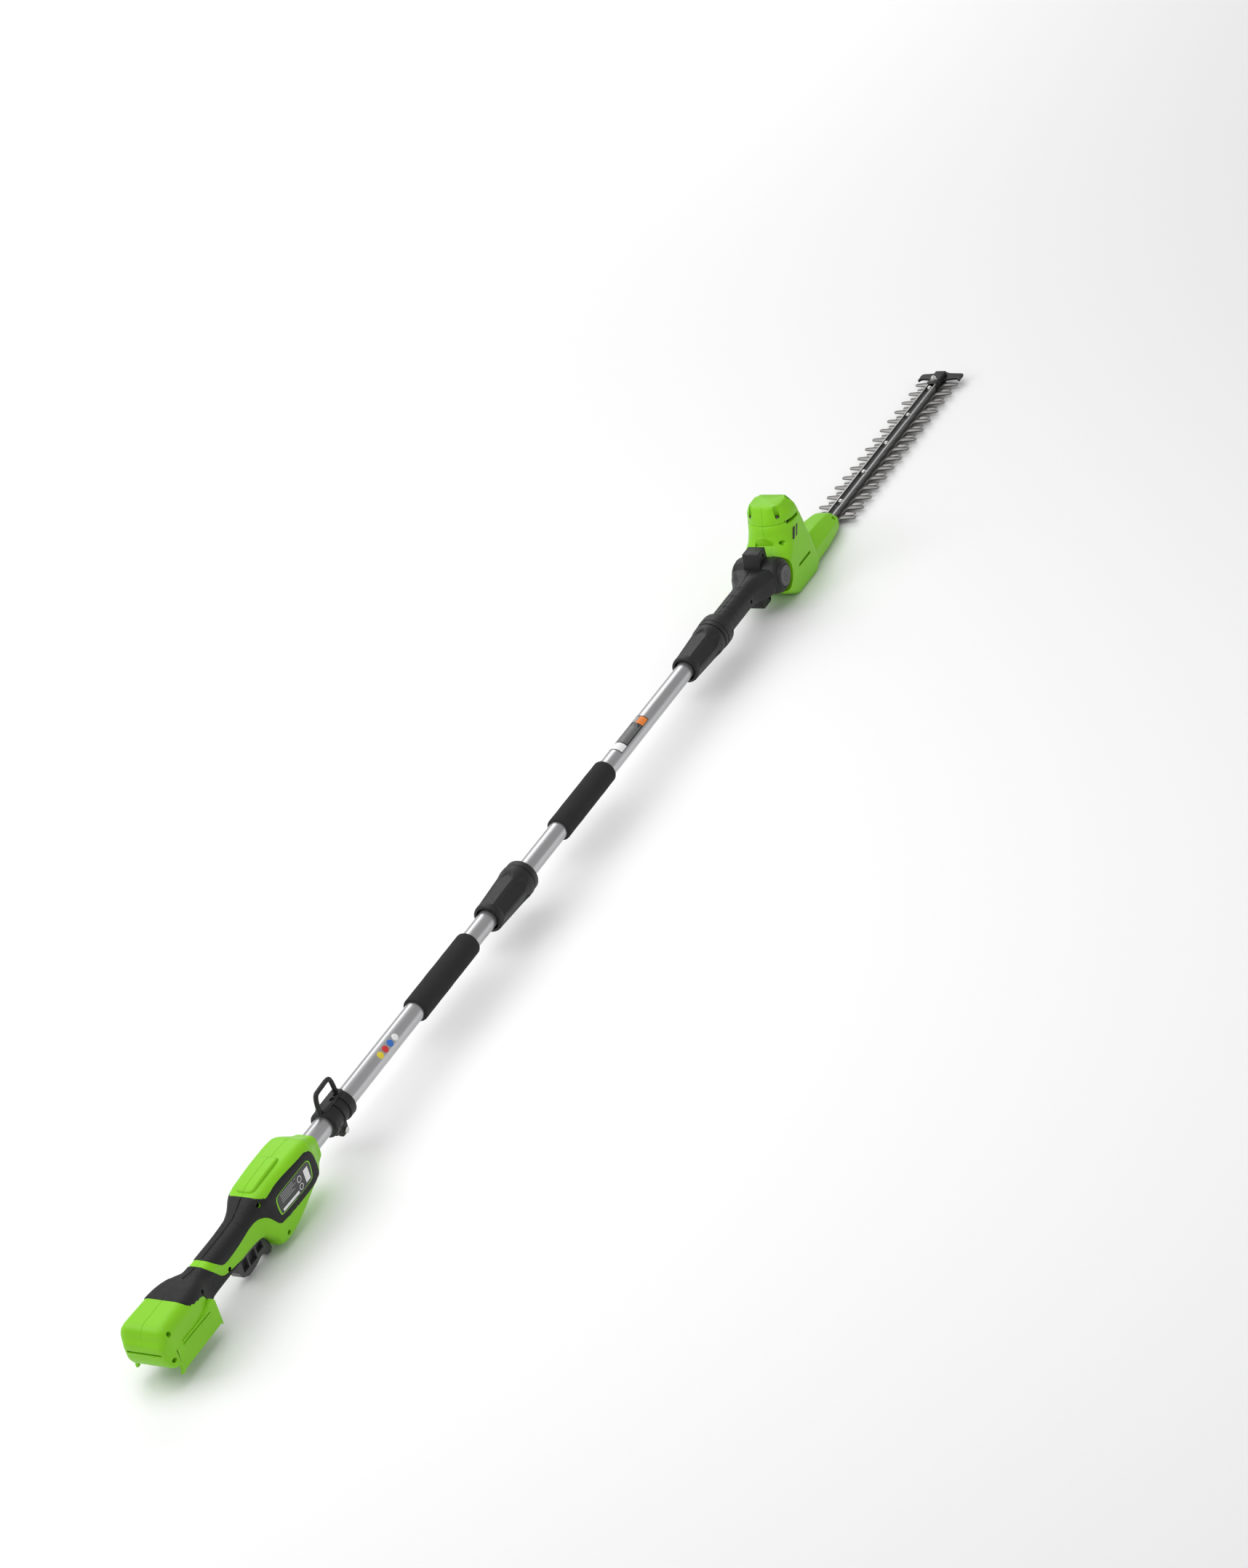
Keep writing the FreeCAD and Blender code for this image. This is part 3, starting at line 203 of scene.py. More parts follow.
def addPiece(name, points, faces, slot, body, replaced=(), crease=32, material=None):
    # Makes the mesh, turns its faces outwards by the sign of its volume, and parents it to its body's empty.
    data = bpy.data.meshes.new(name)
    data.from_pydata(toMetres(points).tolist(), [], [list(face) for face in faces])
    piece = bpy.data.objects.new(name, data)
    bpy.context.scene.collection.objects.link(piece)
    faceOutwards(data)
    smoothBelow(data, crease)
    data.materials.append(material or slotMaterial[slot])
    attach(piece, body)
    if replaced:
        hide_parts(*replaced)
    return piece


def faceOutwards(data):
    # Signed volume: the sum of corner triple products over the triangles.
    data.calc_loop_triangles()
    corners = np.zeros(len(data.loop_triangles) * 3, int)
    data.loop_triangles.foreach_get("vertices", corners)
    places = np.zeros(len(data.vertices) * 3)
    data.vertices.foreach_get("co", places)
    a, b, c = np.moveaxis(places.reshape(-1, 3)[corners.reshape(-1, 3)] - places.reshape(-1, 3).mean(0), 1, 0)
    if np.einsum("ij,ij->", a, np.cross(b, c)) < 0:
        data.flip_normals()


def smoothBelow(data, degrees):
    data.polygons.foreach_set("use_smooth", np.ones(len(data.polygons), bool))
    data.set_sharp_from_angle(angle=np.radians(degrees))
    data.update()


def gridFaces(rows, columns, wrapRows=False):
    # Quads between neighbouring points of a grid of closed rings, wrapped the other way too if asked.
    i = np.arange(rows if wrapRows else rows - 1)[:, None]
    j = np.arange(columns)[None, :]
    down, over = (i + 1) % rows, (j + 1) % columns
    quads = np.stack([i * columns + j, i * columns + over, down * columns + over, down * columns + j], -1)
    return quads.reshape(-1, 4).tolist()


def loftPiece(name, grid, slot, body, replaced=(), crease=32, material=None):
    # A grid of rings, closed at each end by a fan to the middle of its ring.
    rows, columns, _ = grid.shape
    points = np.concatenate([grid.reshape(-1, 3), grid[[0, -1]].mean(1)])
    faces = gridFaces(rows, columns)
    ring = np.arange(columns)
    tail = len(points) - 2
    faces += np.stack([ring, np.full(columns, tail), (ring + 1) % columns], -1).tolist()
    ring = ring + (rows - 1) * columns
    following = (rows - 1) * columns + (np.arange(columns) + 1) % columns
    faces += np.stack([ring, following, np.full(columns, tail + 1)], -1).tolist()
    return addPiece(name, points, faces, slot, body, replaced, crease, material)


def easedRows(keys, stations):
    # Cubic through rows of numbers: h00 a + h10 g m + h01 b + h11 g n, with slopes m and n the harmonic
    # mean of the two beside each row, so nothing overshoots.
    keys = np.array(keys, float)
    x, values = keys[:, 0], keys[:, 1:]
    gap = np.diff(x)
    slope = np.diff(values, axis=0) / gap[:, None]
    both = slope[:-1] * slope[1:]
    total = slope[:-1] + slope[1:]
    inner = np.where(both > 0, 2 * both / np.where(total == 0, 1, total), 0)
    slopes = np.concatenate([slope[:1], inner, slope[-1:]])
    i = np.clip(np.searchsorted(x, stations, side="right") - 1, 0, len(gap) - 1)
    t = ((stations - x[i]) / gap[i])[:, None]
    h = gap[i][:, None]
    return ((1 + 2 * t) * (1 - t) ** 2 * values[i] + t * (1 - t) ** 2 * h * slopes[i]
            + t ** 2 * (3 - 2 * t) * values[i + 1] - t ** 2 * (1 - t) * h * slopes[i + 1])


def roundedSections(stations, sizes, arc=9, side=10, seam=0.45):
    # Rounded rectangles across X: columns of half width, top, bottom, upper and lower corner radius.
    # Each ring is four quarter circles joined by straights, with a narrow groove along top and bottom.
    half, top, bottom, upper, lower = sizes.T[:, :, None]
    turn = np.linspace(0, np.pi / 2, arc)[None, :]
    along = np.linspace(0, 1, side + 2)[None, 1:-1]
    lip = np.array([[0.35, 0, -0.35]]) + 0 * half
    dip = np.array([[0, seam, 0]]) + 0 * half

    def cross(flat):
        outer = 0.6 + (flat - 0.6) * (1 - along)
        level = np.concatenate([0 * outer, dip, 0 * outer], 1)
        return np.concatenate([outer, lip, -outer[:, ::-1]], 1), level

    lowY, lowDip = cross(half - lower)
    topY, topDip = cross(half - upper)
    y = [half - upper + upper * np.sin(turn), half + 0 * along, half - lower + lower * np.cos(turn), lowY]
    z = [top - upper + upper * np.cos(turn), (top - upper) * (1 - along) + (bottom + lower) * along,
         bottom + lower - lower * np.sin(turn), bottom + lowDip]
    y += [-y[2][:, ::-1], -y[1], -y[0][:, ::-1], -topY]
    z += [z[2][:, ::-1], z[1][:, ::-1], z[0][:, ::-1], top - topDip]
    y, z = np.concatenate(y, 1), np.concatenate(z, 1)
    return np.stack([np.asarray(stations, float)[:, None] + 0 * y, y, z], -1)


def gridNormals(grid):
    # Cross product of the two central differences, turned away from each ring's middle.
    down = np.gradient(grid, axis=0)
    over = np.roll(grid, -1, 1) - np.roll(grid, 1, 1)
    normal = np.cross(down, over)
    normal /= np.linalg.norm(normal, axis=-1, keepdims=True) + 1e-12
    away = grid - grid.mean(1, keepdims=True)
    return normal * np.sign(np.einsum("ijk,ijk->ij", normal, away).sum() or 1)


def edgeDistance(x, z, outline):
    # Distance to a closed outline, positive inside: the least distance to its edges, with a crossing count.
    corners = np.array(outline, float)
    least = np.full(x.shape, 1e9)
    inside = np.zeros(x.shape, bool)
    for (x0, z0), (x1, z1) in zip(corners, np.roll(corners, -1, 0)):
        t = np.clip(((x - x0) * (x1 - x0) + (z - z0) * (z1 - z0)) / ((x1 - x0) ** 2 + (z1 - z0) ** 2), 0, 1)
        least = np.minimum(least, np.hypot(x - x0 - t * (x1 - x0), z - z0 - t * (z1 - z0)))
        if z0 != z1:
            crossing = (z0 > z) != (z1 > z)
            inside ^= crossing & (x < x0 + (z - z0) * (x1 - x0) / (z1 - z0))
    return np.where(inside, least, -least)


def rounded(outline, passes=3):
    # Corner cutting: each pass puts two points a quarter and three quarters along every edge.
    corners = np.array(outline, float)
    for _ in range(passes):
        following = np.roll(corners, -1, 0)
        corners = np.stack([0.75 * corners + 0.25 * following, 0.25 * corners + 0.75 * following], 1)
        corners = corners.reshape(-1, corners.shape[-1])
    return corners


def prismShape(outline, low, high, axis="y"):
    # An outline carried straight along one axis, with flat ends.
    corners = np.array(outline, float)
    count = len(corners)
    ends = [np.column_stack([corners, np.full(count, level)]) for level in (low, high)]
    points = np.concatenate(ends)[:, {"y": [0, 2, 1], "x": [2, 0, 1], "z": [0, 1, 2]}[axis]]
    i = np.arange(count)
    j = (i + 1) % count
    faces = np.stack([i, j, j + count, i + count], -1).tolist()
    return points, faces + [list(range(count))[::-1], list(range(count, 2 * count))]


def bevelEdges(piece, width, crease=32, segments=3, limit=40):
    edge = piece.modifiers.new("edge", "BEVEL")
    edge.width = width * mm
    edge.segments = segments
    edge.limit_method = "ANGLE"
    edge.angle_limit = np.radians(limit)
    settle(piece, crease)


def prismPiece(name, outline, low, high, slot, body, axis="y", bevel=0.6, replaced=(), crease=32):
    # An outline carried from low to high along one axis, its edges rounded by the bevel.
    points, faces = prismShape(outline, low, high, axis)
    piece = addPiece(name, points, faces, slot, body, replaced, crease)
    if bevel:
        bevelEdges(piece, bevel, crease)
    return piece


def circle(x, z, radius, count=32):
    angle = np.arange(count) * 2 * np.pi / count
    return np.column_stack([x + radius * np.cos(angle), z + radius * np.sin(angle)])


def rectangle(x0, x1, z0, z1):
    return [(x0, z0), (x1, z0), (x1, z1), (x0, z1)]


def settle(piece, crease=32):
    # Applies the live modifiers, so the finished mesh holds the shape.
    bpy.context.view_layer.update()
    seen = piece.evaluated_get(bpy.context.evaluated_depsgraph_get())
    data = bpy.data.meshes.new_from_object(seen)
    material = piece.data.materials[0]
    piece.modifiers.clear()
    piece.data = data
    data.materials.clear()
    data.materials.append(material)
    data.polygons.foreach_set("material_index", np.zeros(len(data.polygons), int))
    smoothBelow(data, crease)


def joined(shapes):
    # Several closed shapes as one list of points and one of faces.
    points, faces, start = [], [], 0
    for shapePoints, shapeFaces in shapes:
        points.append(np.array(shapePoints, float))
        faces += [[corner + start for corner in face] for face in shapeFaces]
        start += len(shapePoints)
    return np.concatenate(points), faces


def carve(piece, shapes, crease=32):
    # Takes closed shapes, given as (points, faces), out of a piece.
    points, faces = joined(shapes)
    data = bpy.data.meshes.new("cutter")
    data.from_pydata(toMetres(points).tolist(), [], faces)
    tool = bpy.data.objects.new("cutter", data)
    bpy.context.scene.collection.objects.link(tool)
    part = bmesh.new()
    part.from_mesh(data)
    bmesh.ops.recalc_face_normals(part, faces=part.faces)
    part.to_mesh(data)
    part.free()
    cut = piece.modifiers.new("cut", "BOOLEAN")
    cut.object = tool
    cut.operation = "DIFFERENCE"
    cut.solver = "EXACT"
    cut.use_self = True
    settle(piece, crease)
    bpy.data.objects.remove(tool)
    bpy.data.meshes.remove(data)


def turnedPiece(name, profile, slot, body, centre=(0, 0, 0), axis="x", hollow=False, segments=72, replaced=(),
                crease=28, ripple=None):
    # A profile of (distance along the axis, radius) carried round the axis. A hollow one closes on itself,
    # a full one is closed at each end by a fan.
    profile = np.array(profile, float)
    angle = np.arange(segments) * 2 * np.pi / segments
    radius = profile[:, 1][:, None] + 0 * angle[None, :]
    if ripple is not None:
        radius = radius + ripple(profile[:, 0][:, None], angle[None, :])
    parts = [profile[:, 0][:, None] + 0 * radius, radius * np.cos(angle), radius * np.sin(angle)]
    order = {"x": (0, 1, 2), "y": (1, 0, 2), "z": (1, 2, 0)}[axis]
    grid = np.stack([parts[k] for k in order], -1) + np.array(centre, float)
    if not hollow:
        return loftPiece(name, grid, slot, body, replaced, crease)
    faces = gridFaces(len(profile), segments, wrapRows=True)
    return addPiece(name, grid.reshape(-1, 3), faces, slot, body, replaced, crease)


def rodPiece(name, path, radius, slot, body, squash=1.0, segments=20):
    # A circle carried along a path P in the plane Y = 0: P + r cos(a) N + squash r sin(a) Y, N its normal.
    path = np.array(path, float)
    ahead = np.roll(path, -1, 0) - np.roll(path, 1, 0)
    ahead[0], ahead[-1] = path[1] - path[0], path[-1] - path[-2]
    ahead /= np.linalg.norm(ahead, axis=1, keepdims=True)
    normal = np.column_stack([-ahead[:, 1], ahead[:, 0]])
    angle = np.arange(segments) * 2 * np.pi / segments
    x = path[:, 0][:, None] + radius * normal[:, 0][:, None] * np.cos(angle)
    z = path[:, 1][:, None] + radius * normal[:, 1][:, None] * np.cos(angle)
    y = radius * squash * np.sin(angle)[None, :] + 0 * x
    return loftPiece(name, np.stack([x, y, z], -1), slot, body)


# ---- handle

handle = {
    # station: half width, top, bottom, upper radius, lower radius
    "rows": [
        (-408.2, 25, 6, -12, 7, 7), (-407, 28.5, 9.5, -16, 8, 7), (-404, 31, 14, -22, 9, 7),
        (-400, 33.2, 24, -26.5, 11, 6), (-396, 34.6, 28, -27.5, 13, 5), (-391.5, 35, 30, -28, 15, 4),
        (-390, 35, 30.3, -5, 15, 1), (-350, 34.8, 30.2, -5, 17, 1), (-332, 33.2, 29.6, -5, 16.5, 1),
        (-309, 26.4, 26.6, -5, 14, 1), (-307.5, 25.6, 26, -27, 14, 6), (-301, 22.5, 24.3, -26, 13, 7),
        (-291, 18.4, 21.9, -24, 13, 9), (-282, 17.5, 21.2, -21.4, 13, 10),
        (-268, 17.4, 21.5, -21, 13.5, 10),
        (-230, 17.4, 21.4, -21, 14, 10), (-195, 17.8, 22.4, -21, 14, 10), (-180, 19.4, 27, -21, 15, 10),
        (-170, 22, 31.6, -22, 15, 10), (-164, 24.5, 34.2, -27, 15.5, 10), (-158, 26.6, 36, -35, 16, 11),
        (-151, 28.6, 37.2, -48, 16, 13), (-143, 29.5, 37.9, -53, 16, 15), (-135, 29.9, 38.1, -54, 16, 16),
        (-118, 30.7, 38.4, -49.6, 16, 14), (-100, 31.4, 38.5, -42, 16, 12), (-70, 31.4, 38, -27.6, 15.5, 9),
        (-54, 30.8, 36.8, -20.8, 15, 8), (-47.5, 29.2, 34.8, -20.2, 14.5, 8),
        (-42, 26.4, 31.6, -19.6, 14, 8),
        (-36, 22.8, 27.4, -19.2, 13, 8), (-30, 20, 23, -18.8, 11.5, 8), (-24, 18, 19.6, -18, 10, 8),
        (-20, 17.2, 17.8, -17, 9, 8), (-18, 16, 16.4, -15.8, 9, 8),
    ],
    "step": 1.3,
    "skin": 0.9,
    "neckZone": [
        (-351, 40), (-350, 30), (-345.5, 22), (-336, 18), (-318, 13.2), (-309, 5.5), (-302.5, -9.5),
        (-297, -22),
        (-287, -30), (-282, -60), (-214, -60), (-214, -19.5), (-220, -15.2), (-250, -10.5), (-260, -6.5),
        (-269, 6), (-275.5, 15), (-279, 22), (-279, 60), (-351, 60),
    ],
    "gripZone": [
        (-267.6, 60), (-267.6, 23), (-265, 18), (-257, 8), (-250, 3.2), (-240, 2.4), (-222, 3.2),
        (-205, 5.5),
        (-192, 8), (-178, 10), (-168, 8.5), (-159, 2.5), (-152, -8.5), (-147, -16.5), (-140, -19.8),
        (-106, -20.2), (-60, -20), (-51.5, -17.5), (-47.8, -10), (-47, 0), (-49, 14), (-54, 23.5),
        (-61, 27.8),
        (-75, 29.8), (-120, 31.2), (-146, 29.6), (-152, 27.4), (-158.5, 30.5), (-164, 35), (-166.5, 60),
    ],
    "grooves": [-255, -226, -221.5, -217, -194, -189, -183],
    "wells": [(-393, 20), (-399, -14), (-311, 14), (-244, -9), (-165, 26), (-137, -38)],
    "wellRadius": 3.3,
}


def handleSurface():
    rows = handle["rows"]
    stations = np.arange(rows[0][0], rows[-1][0], handle["step"])
    stations = np.unique(np.concatenate([stations, [row[0] for row in rows]]))
    return roundedSections(stations, easedRows(rows, stations), arc=10, side=26)


def handleCuts():
    slot = prismShape(rectangle(-227.5, -143.5, -62, -12.5), -9.5, 9.5)
    press = prismShape(circle(-158, 10, 5.6), 10, 60)
    wells = [prismShape(circle(x, z, handle["wellRadius"]), -60, -10) for x, z in handle["wells"]]
    return [slot, press] + wells


def skinPiece(name, surface, normals, zone, cuts, replaced=()):
    # The surface moved out by a rounded step that crosses zero at the zone's edge, and walled inwards.
    distance = edgeDistance(surface[..., 0], surface[..., 2], rounded(handle[zone], 2))
    lift = handle["skin"] * np.clip(distance / 0.9, -1, 1)
    across = np.abs(surface[..., 1])
    bands = np.abs(surface[..., 0][..., None] - np.array(handle["grooves"])).min(-1)
    grooved = (distance > 0.9) * (across < 30) * (surface[..., 2] > 4)
    lift = lift - 0.45 * np.exp(-(bands / 0.7) ** 2) * grooved
    moved = surface + normals * lift[..., None]
    rows, columns = distance.shape
    faces = np.array(gridFaces(rows, columns))
    keep = distance.ravel()[faces].max(1) > -1.2
    faces = faces[keep]
    used = np.unique(faces)
    renumber = np.zeros(rows * columns, int)
    renumber[used] = np.arange(len(used))
    piece = addPiece(name, moved.reshape(-1, 3)[used], renumber[faces].tolist(), "soft_grip", "handle",
                     replaced, 40)
    wall = piece.modifiers.new("wall", "SOLIDIFY")
    wall.thickness = 1.5 * mm
    wall.offset = -1
    settle(piece, 40)
    carve(piece, cuts, 40)
    return piece


def buildHandle():
    surface = handleSurface()
    normals = gridNormals(surface)
    shell = loftPiece("handleShell", surface, "green_plastic", "handle",
                      ["rear_shell_left", "rear_shell_right"])
    rearSlot = prismShape(rectangle(-412, -401, -3.2, -0.4), -25, 25)
    carve(shell, handleCuts() + [rearSlot])
    skinPiece("neckSkin", surface, normals, "neckZone", handleCuts(), ["grip_overmould_left"])
    skinPiece("gripSkin", surface, normals, "gripZone", handleCuts(), ["grip_overmould_right"])
    # A black sleeve lines each well that opens in the overmould.
    for index, (x, z) in enumerate(handle["wells"][i] for i in (2, 3, 4)):
        near = np.hypot(surface[..., 0] - x, surface[..., 2] - z) + 100 * (surface[..., 1] > 0)
        out = surface.reshape(-1, 3)[near.argmin()][1]
        sleeve = [(out + 0.4, 3.3), (-9.5, 3.3), (-9.5, 2.8), (out + 0.4, 2.8)]
        turnedPiece("wellSleeve%d" % index, sleeve, "soft_grip", "handle", (x, 0, z), "y", hollow=True,
                    segments=28)


bay = {"rear": -395, "front": -303.5, "outer": 35, "wall": 4, "deck": -2.6, "ceiling": -6, "low": -39.5, "round": 2.5}


def buildBay():
    # An upside-down U carried along X: deck on top, a wall down each side, its outer corners rounded.
    corner = np.linspace(0, np.pi / 2, 7)
    r, w, deck = bay["round"], bay["outer"], bay["deck"]
    right = np.column_stack([w - r + r * np.sin(corner), deck - r + r * np.cos(corner)])
    foot = [(w, bay["low"] + 0.8), (w - 0.8, bay["low"]), (w - bay["wall"] + 0.6, bay["low"]),
            (w - bay["wall"], bay["low"] + 0.6), (w - bay["wall"], bay["ceiling"])]
    half = np.concatenate([right, foot])
    ring = np.concatenate([half, half[::-1] * (-1, 1)])
    stations = np.array([bay["rear"], bay["rear"] + 0.6, bay["front"] - 0.6, bay["front"]])
    inset = np.array([0.4, 0, 0, 0.4])
    grid = np.stack([stations[:, None] + 0 * ring[:, 0], ring[:, 0] * (1 - inset[:, None] / w),
                     ring[:, 1] * (1 - inset[:, None] / 40)], -1)
    rows, columns, _ = grid.shape
    faces = gridFaces(rows, columns)
    faces += [list(range(columns)), list(range((rows - 1) * columns, rows * columns))[::-1]]
    frameWall = addPiece("bayFrame", grid.reshape(-1, 3), faces, "green_plastic", "handle")
    # The lower rear corners of the walls end in points.
    notch = [(-400, -27.5), (-391.5, -27.5), (-394.2, -36), (-395.5, -41), (-400, -41)]
    foot = [(-392.2, -45), (-390, -36.5), (-306, -36.5), (-303, -45)]
    carve(frameWall, [prismShape(notch, -40, 40), prismShape(foot, -40, 40)])
    for index, rise in enumerate((-4.2, -9.2)):
        for side in (-1, 1):
            spine = np.array([(-377, rise + 0.8), (-345, rise), (-318, rise - 1.2)])
            outline = np.concatenate([spine + (0, 1), spine[::-1] - (0, 1)])
            low, high = sorted((side * (bay["outer"] - 0.5), side * (bay["outer"] + 1.5)))
            prismPiece("bayRib%d%s" % (index, "R" if side < 0 else "L"), outline, low, high,
                       "green_plastic",
                       "handle", bevel=0.4)


hood = {
    # station: half width, top, bottom, upper radius, lower radius
    "rows": [
        (-157.5, 9, 36.0, 33, 3.5, 1), (-156, 11.5, 38.6, 33, 3.5, 1), (-153, 13.4, 40.2, 33, 3.2, 1),
        (-146, 14.2, 41.4, 33, 3, 1), (-120, 14.4, 42.4, 33, 3, 1), (-100, 14.0, 42.6, 33, 3, 1),
        (-94, 13.2, 41.6, 33, 3.2, 1), (-90.5, 11.4, 39.6, 33, 3.4, 1), (-88.5, 9, 37.4, 33, 3.4, 1)],
}


def buildHood():
    stations = np.linspace(hood["rows"][0][0], hood["rows"][-1][0], 70)
    grid = roundedSections(stations, easedRows(hood["rows"], stations), arc=8, side=6)
    loftPiece("hoodPad", grid, "green_plastic", "handle")


labelPanel = {
    "outline": [(-66, 18.5), (-61.6, 12), (-64.6, -6.4), (-71, -10.4), (-137, -10.4), (-141.4, -7),
                (-142.4, 14.5),
                (-136, 19.6), (-73, 19.8)],
    "lines": [(-132, -98, 15.4), (-132, -104, 12.6), (-132, -100, 9.8), (-132, -108, 7.0),
              (-132, -103, 4.2)],
    "blocks": [(-80, -70, -5.5, 12.5), (-134, -98, -7.4, -3.4)],
    "frames": [(-96, -86, 4, 13), (-96, -86, -7, 1.5)],
}


def sideY(x):
    # How far out the flat side of the front housing stands at a station.
    rows = np.array(handle["rows"])
    return np.interp(x, rows[:, 0], rows[:, 1])


def sidePatch(name, outline, low, high, slot, material=None):
    # A flat outline carried out from the housing's right side by low to high.
    points, faces = prismShape(outline, 0, 1)
    depth = low + (high - low) * points[:, 1]
    points[:, 1] = -(sideY(points[:, 0]) + depth)
    return addPiece(name, points, faces, slot, "handle", material=material)


def buildLabel():
    outline = rounded(labelPanel["outline"], 3)
    middle = outline.mean(0)
    plate = sidePatch("dataPlate", middle + (outline - middle) * 0.95, 0.2, 1.25, "label")
    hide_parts("data_plate")
    sidePatch("dataPlateRim", outline, 0.2, 1.12, "green_plastic")
    white = slotMaterial["whitePrint"]
    for index, (x0, x1, z) in enumerate(labelPanel["lines"]):
        line = rectangle(x0, x1, z - 0.45, z + 0.45)
        sidePatch("dataLine%d" % index, line, 1.2, 1.32, "label", slotMaterial["greyPrint"])
    for index, block in enumerate(labelPanel["blocks"]):
        sidePatch("dataBlock%d" % index, rectangle(*block), 1.2, 1.34, "label", white)
    for index, (x0, x1, z0, z1) in enumerate(labelPanel["frames"]):
        ring = circle((x0 + x1) / 2, (z0 + z1) / 2, (z1 - z0) / 2, 24)
        sidePatch("dataMark%d" % index, ring, 1.2, 1.3, "label", white)
        inner = circle((x0 + x1) / 2, (z0 + z1) / 2, (z1 - z0) / 2 - 0.9, 24)
        sidePatch("dataMarkFill%d" % index, inner, 1.2, 1.36, "label")


buildHandle()
buildBay()
buildHood()
buildLabel()
print("handle built")


# ---- pole, foam, couplers and strap clamp

pole = {"radius": 14, "wall": 1.6, "lower": (-110, 521), "middle": (559, 1175)}


def buildTube(name, start, end, body, node):
    r, w = pole["radius"], pole["wall"]
    profile = [(start, r - w), (start, r - 0.3), (start + 0.3, r), (end - 0.3, r), (end, r - 0.3), (end, r - w)]
    turnedPiece(name, profile, "pole_aluminium", body, hollow=True, segments=96, replaced=[node])


foam = {"radius": 18.2, "bore": 14.02, "lower": (266.5, 420.5), "upper": (697, 851)}


def buildFoam(name, start, end, body, node):
    # The radius swells by a few tenths in slow waves, and the ends roll over a 3 mm radius.
    roll = np.linspace(0, np.pi / 2, 8)
    r = foam["radius"]
    near = np.column_stack([start + 3 - 3 * np.cos(roll), r - 3 + 3 * np.sin(roll)])
    middle = np.column_stack([np.linspace(start + 8, end - 8, 60), np.full(60, r)])
    far = near[::-1] * (-1, 1) + (start + end, 0)
    profile = np.concatenate([[(start, foam["bore"])], near, middle, far, [(end, foam["bore"])]])

    def swell(x, angle):
        inside = (x > start + 4) & (x < end - 4)
        return 0.12 * np.sin(x / 7.3) * np.cos(2 * angle + x / 31) * inside

    grip = turnedPiece(name, profile, "foam", body, hollow=True, segments=80, replaced=[node], ripple=swell)


nut = {"length": 94, "small": 21.2, "big": 26, "bore": 14.05, "socket": 19.6, "facet": 0.40,
       "lower": 477, "upper": 1131}


def buildNut(name, start, body, node):
    # Radius: a taper, less six flats that are deepest in the middle of each and end in a pointed arch.
    end = nut["length"]
    x = np.concatenate([[0, 0, 0.4, 1.4, 3], np.linspace(5, 10, 5), np.linspace(11, 84, 72),
                        [86, 88, 90, 92, 93, 93.6, end, end, 82, 31, 31, 12, 9]])
    r = np.interp(x, [0, 3, 78, 84, end],
                  [nut["small"], nut["small"] + 0.4, nut["big"] - 0.8, nut["big"], nut["big"]])
    r[:4] = [nut["bore"] + 3.2, nut["small"] - 1.2, nut["small"] - 0.4, nut["small"] + 0.1]
    r[-10:] = [nut["big"], nut["big"], nut["big"] - 0.3, nut["big"] - 0.7, nut["big"] - 1.4,
               nut["socket"], nut["socket"], nut["socket"], nut["bore"], nut["bore"]]
    x = np.concatenate([x, [9]])
    r = np.concatenate([r, [nut["bore"] + 3.2]])
    angle = np.arange(144) * 2 * np.pi / 144
    part = (angle[None, :] % (np.pi / 3)) / (np.pi / 3) - 0.5
    outer = np.zeros(len(x), bool)
    outer[4:-12] = True
    reach = 80 - 17 * np.abs(part * 2) ** 1.2
    fade = 1 / (1 + np.exp((x[:, None] - reach) / 1.1)) / (1 + np.exp((9.5 - x[:, None]) / 0.7))
    facet = nut["facet"]
    flat = np.cos(np.clip(part, -facet, facet) * np.pi / 3)
    sunk = r[:, None] - (r[:, None] - 0.5) * np.cos(facet * np.pi / 3) / flat
    depth = np.where(np.abs(part) < facet, 1, 0) * sunk
    radius = r[:, None] - depth * fade * outer[:, None]
    grid = np.stack([x[:, None] + start + 0 * radius, radius * np.cos(angle), radius * np.sin(angle)], -1)
    faces = gridFaces(len(x), 144, wrapRows=True)
    addPiece(name, grid.reshape(-1, 3), faces, "black_plastic", body, [node], 38)


collar = {"start": 573, "radius": 25}


def buildCollar():
    s, r = collar["start"], collar["radius"]
    profile = [(s - 36, 7.5), (s - 36, 18.4), (s - 35, 19), (s - 2, 19), (s - 1.9, 21), (s, 21), (s, r - 0.8),
               (s + 0.8, r), (s + 9.6, r), (s + 10.6, r - 0.5), (s + 11, r - 1.4), (s + 11, 14.1), (s - 14, 14.1),
               (s - 14, 3.4), (s - 22, 3.4), (s - 22, 7.5)]
    turnedPiece("couplingCollar", profile, "black_plastic", "middle_pole", hollow=True,
                replaced=["coupling_socket"])


clamp = {
    "start": 22, "length": 50, "bore": 14.3, "radius": 18.2, "ring": 20.2, "rod": 3.0,
    "loop": [(22, 18), (22.6, 31), (24.8, 41.5), (29, 45.6), (40, 46.4), (52, 47), (58.5, 46),
             (62, 40.5), (63.5, 32), (65, 18)],
    "ear": [(38, -14), (38.5, -24), (41, -32), (44, -33.6), (54, -33.4), (57.4, -29.6), (58.4, -14)],
    "saddle": [(22.6, 13), (23.4, 22.6), (70.4, 22.6), (71.4, 13)],
}


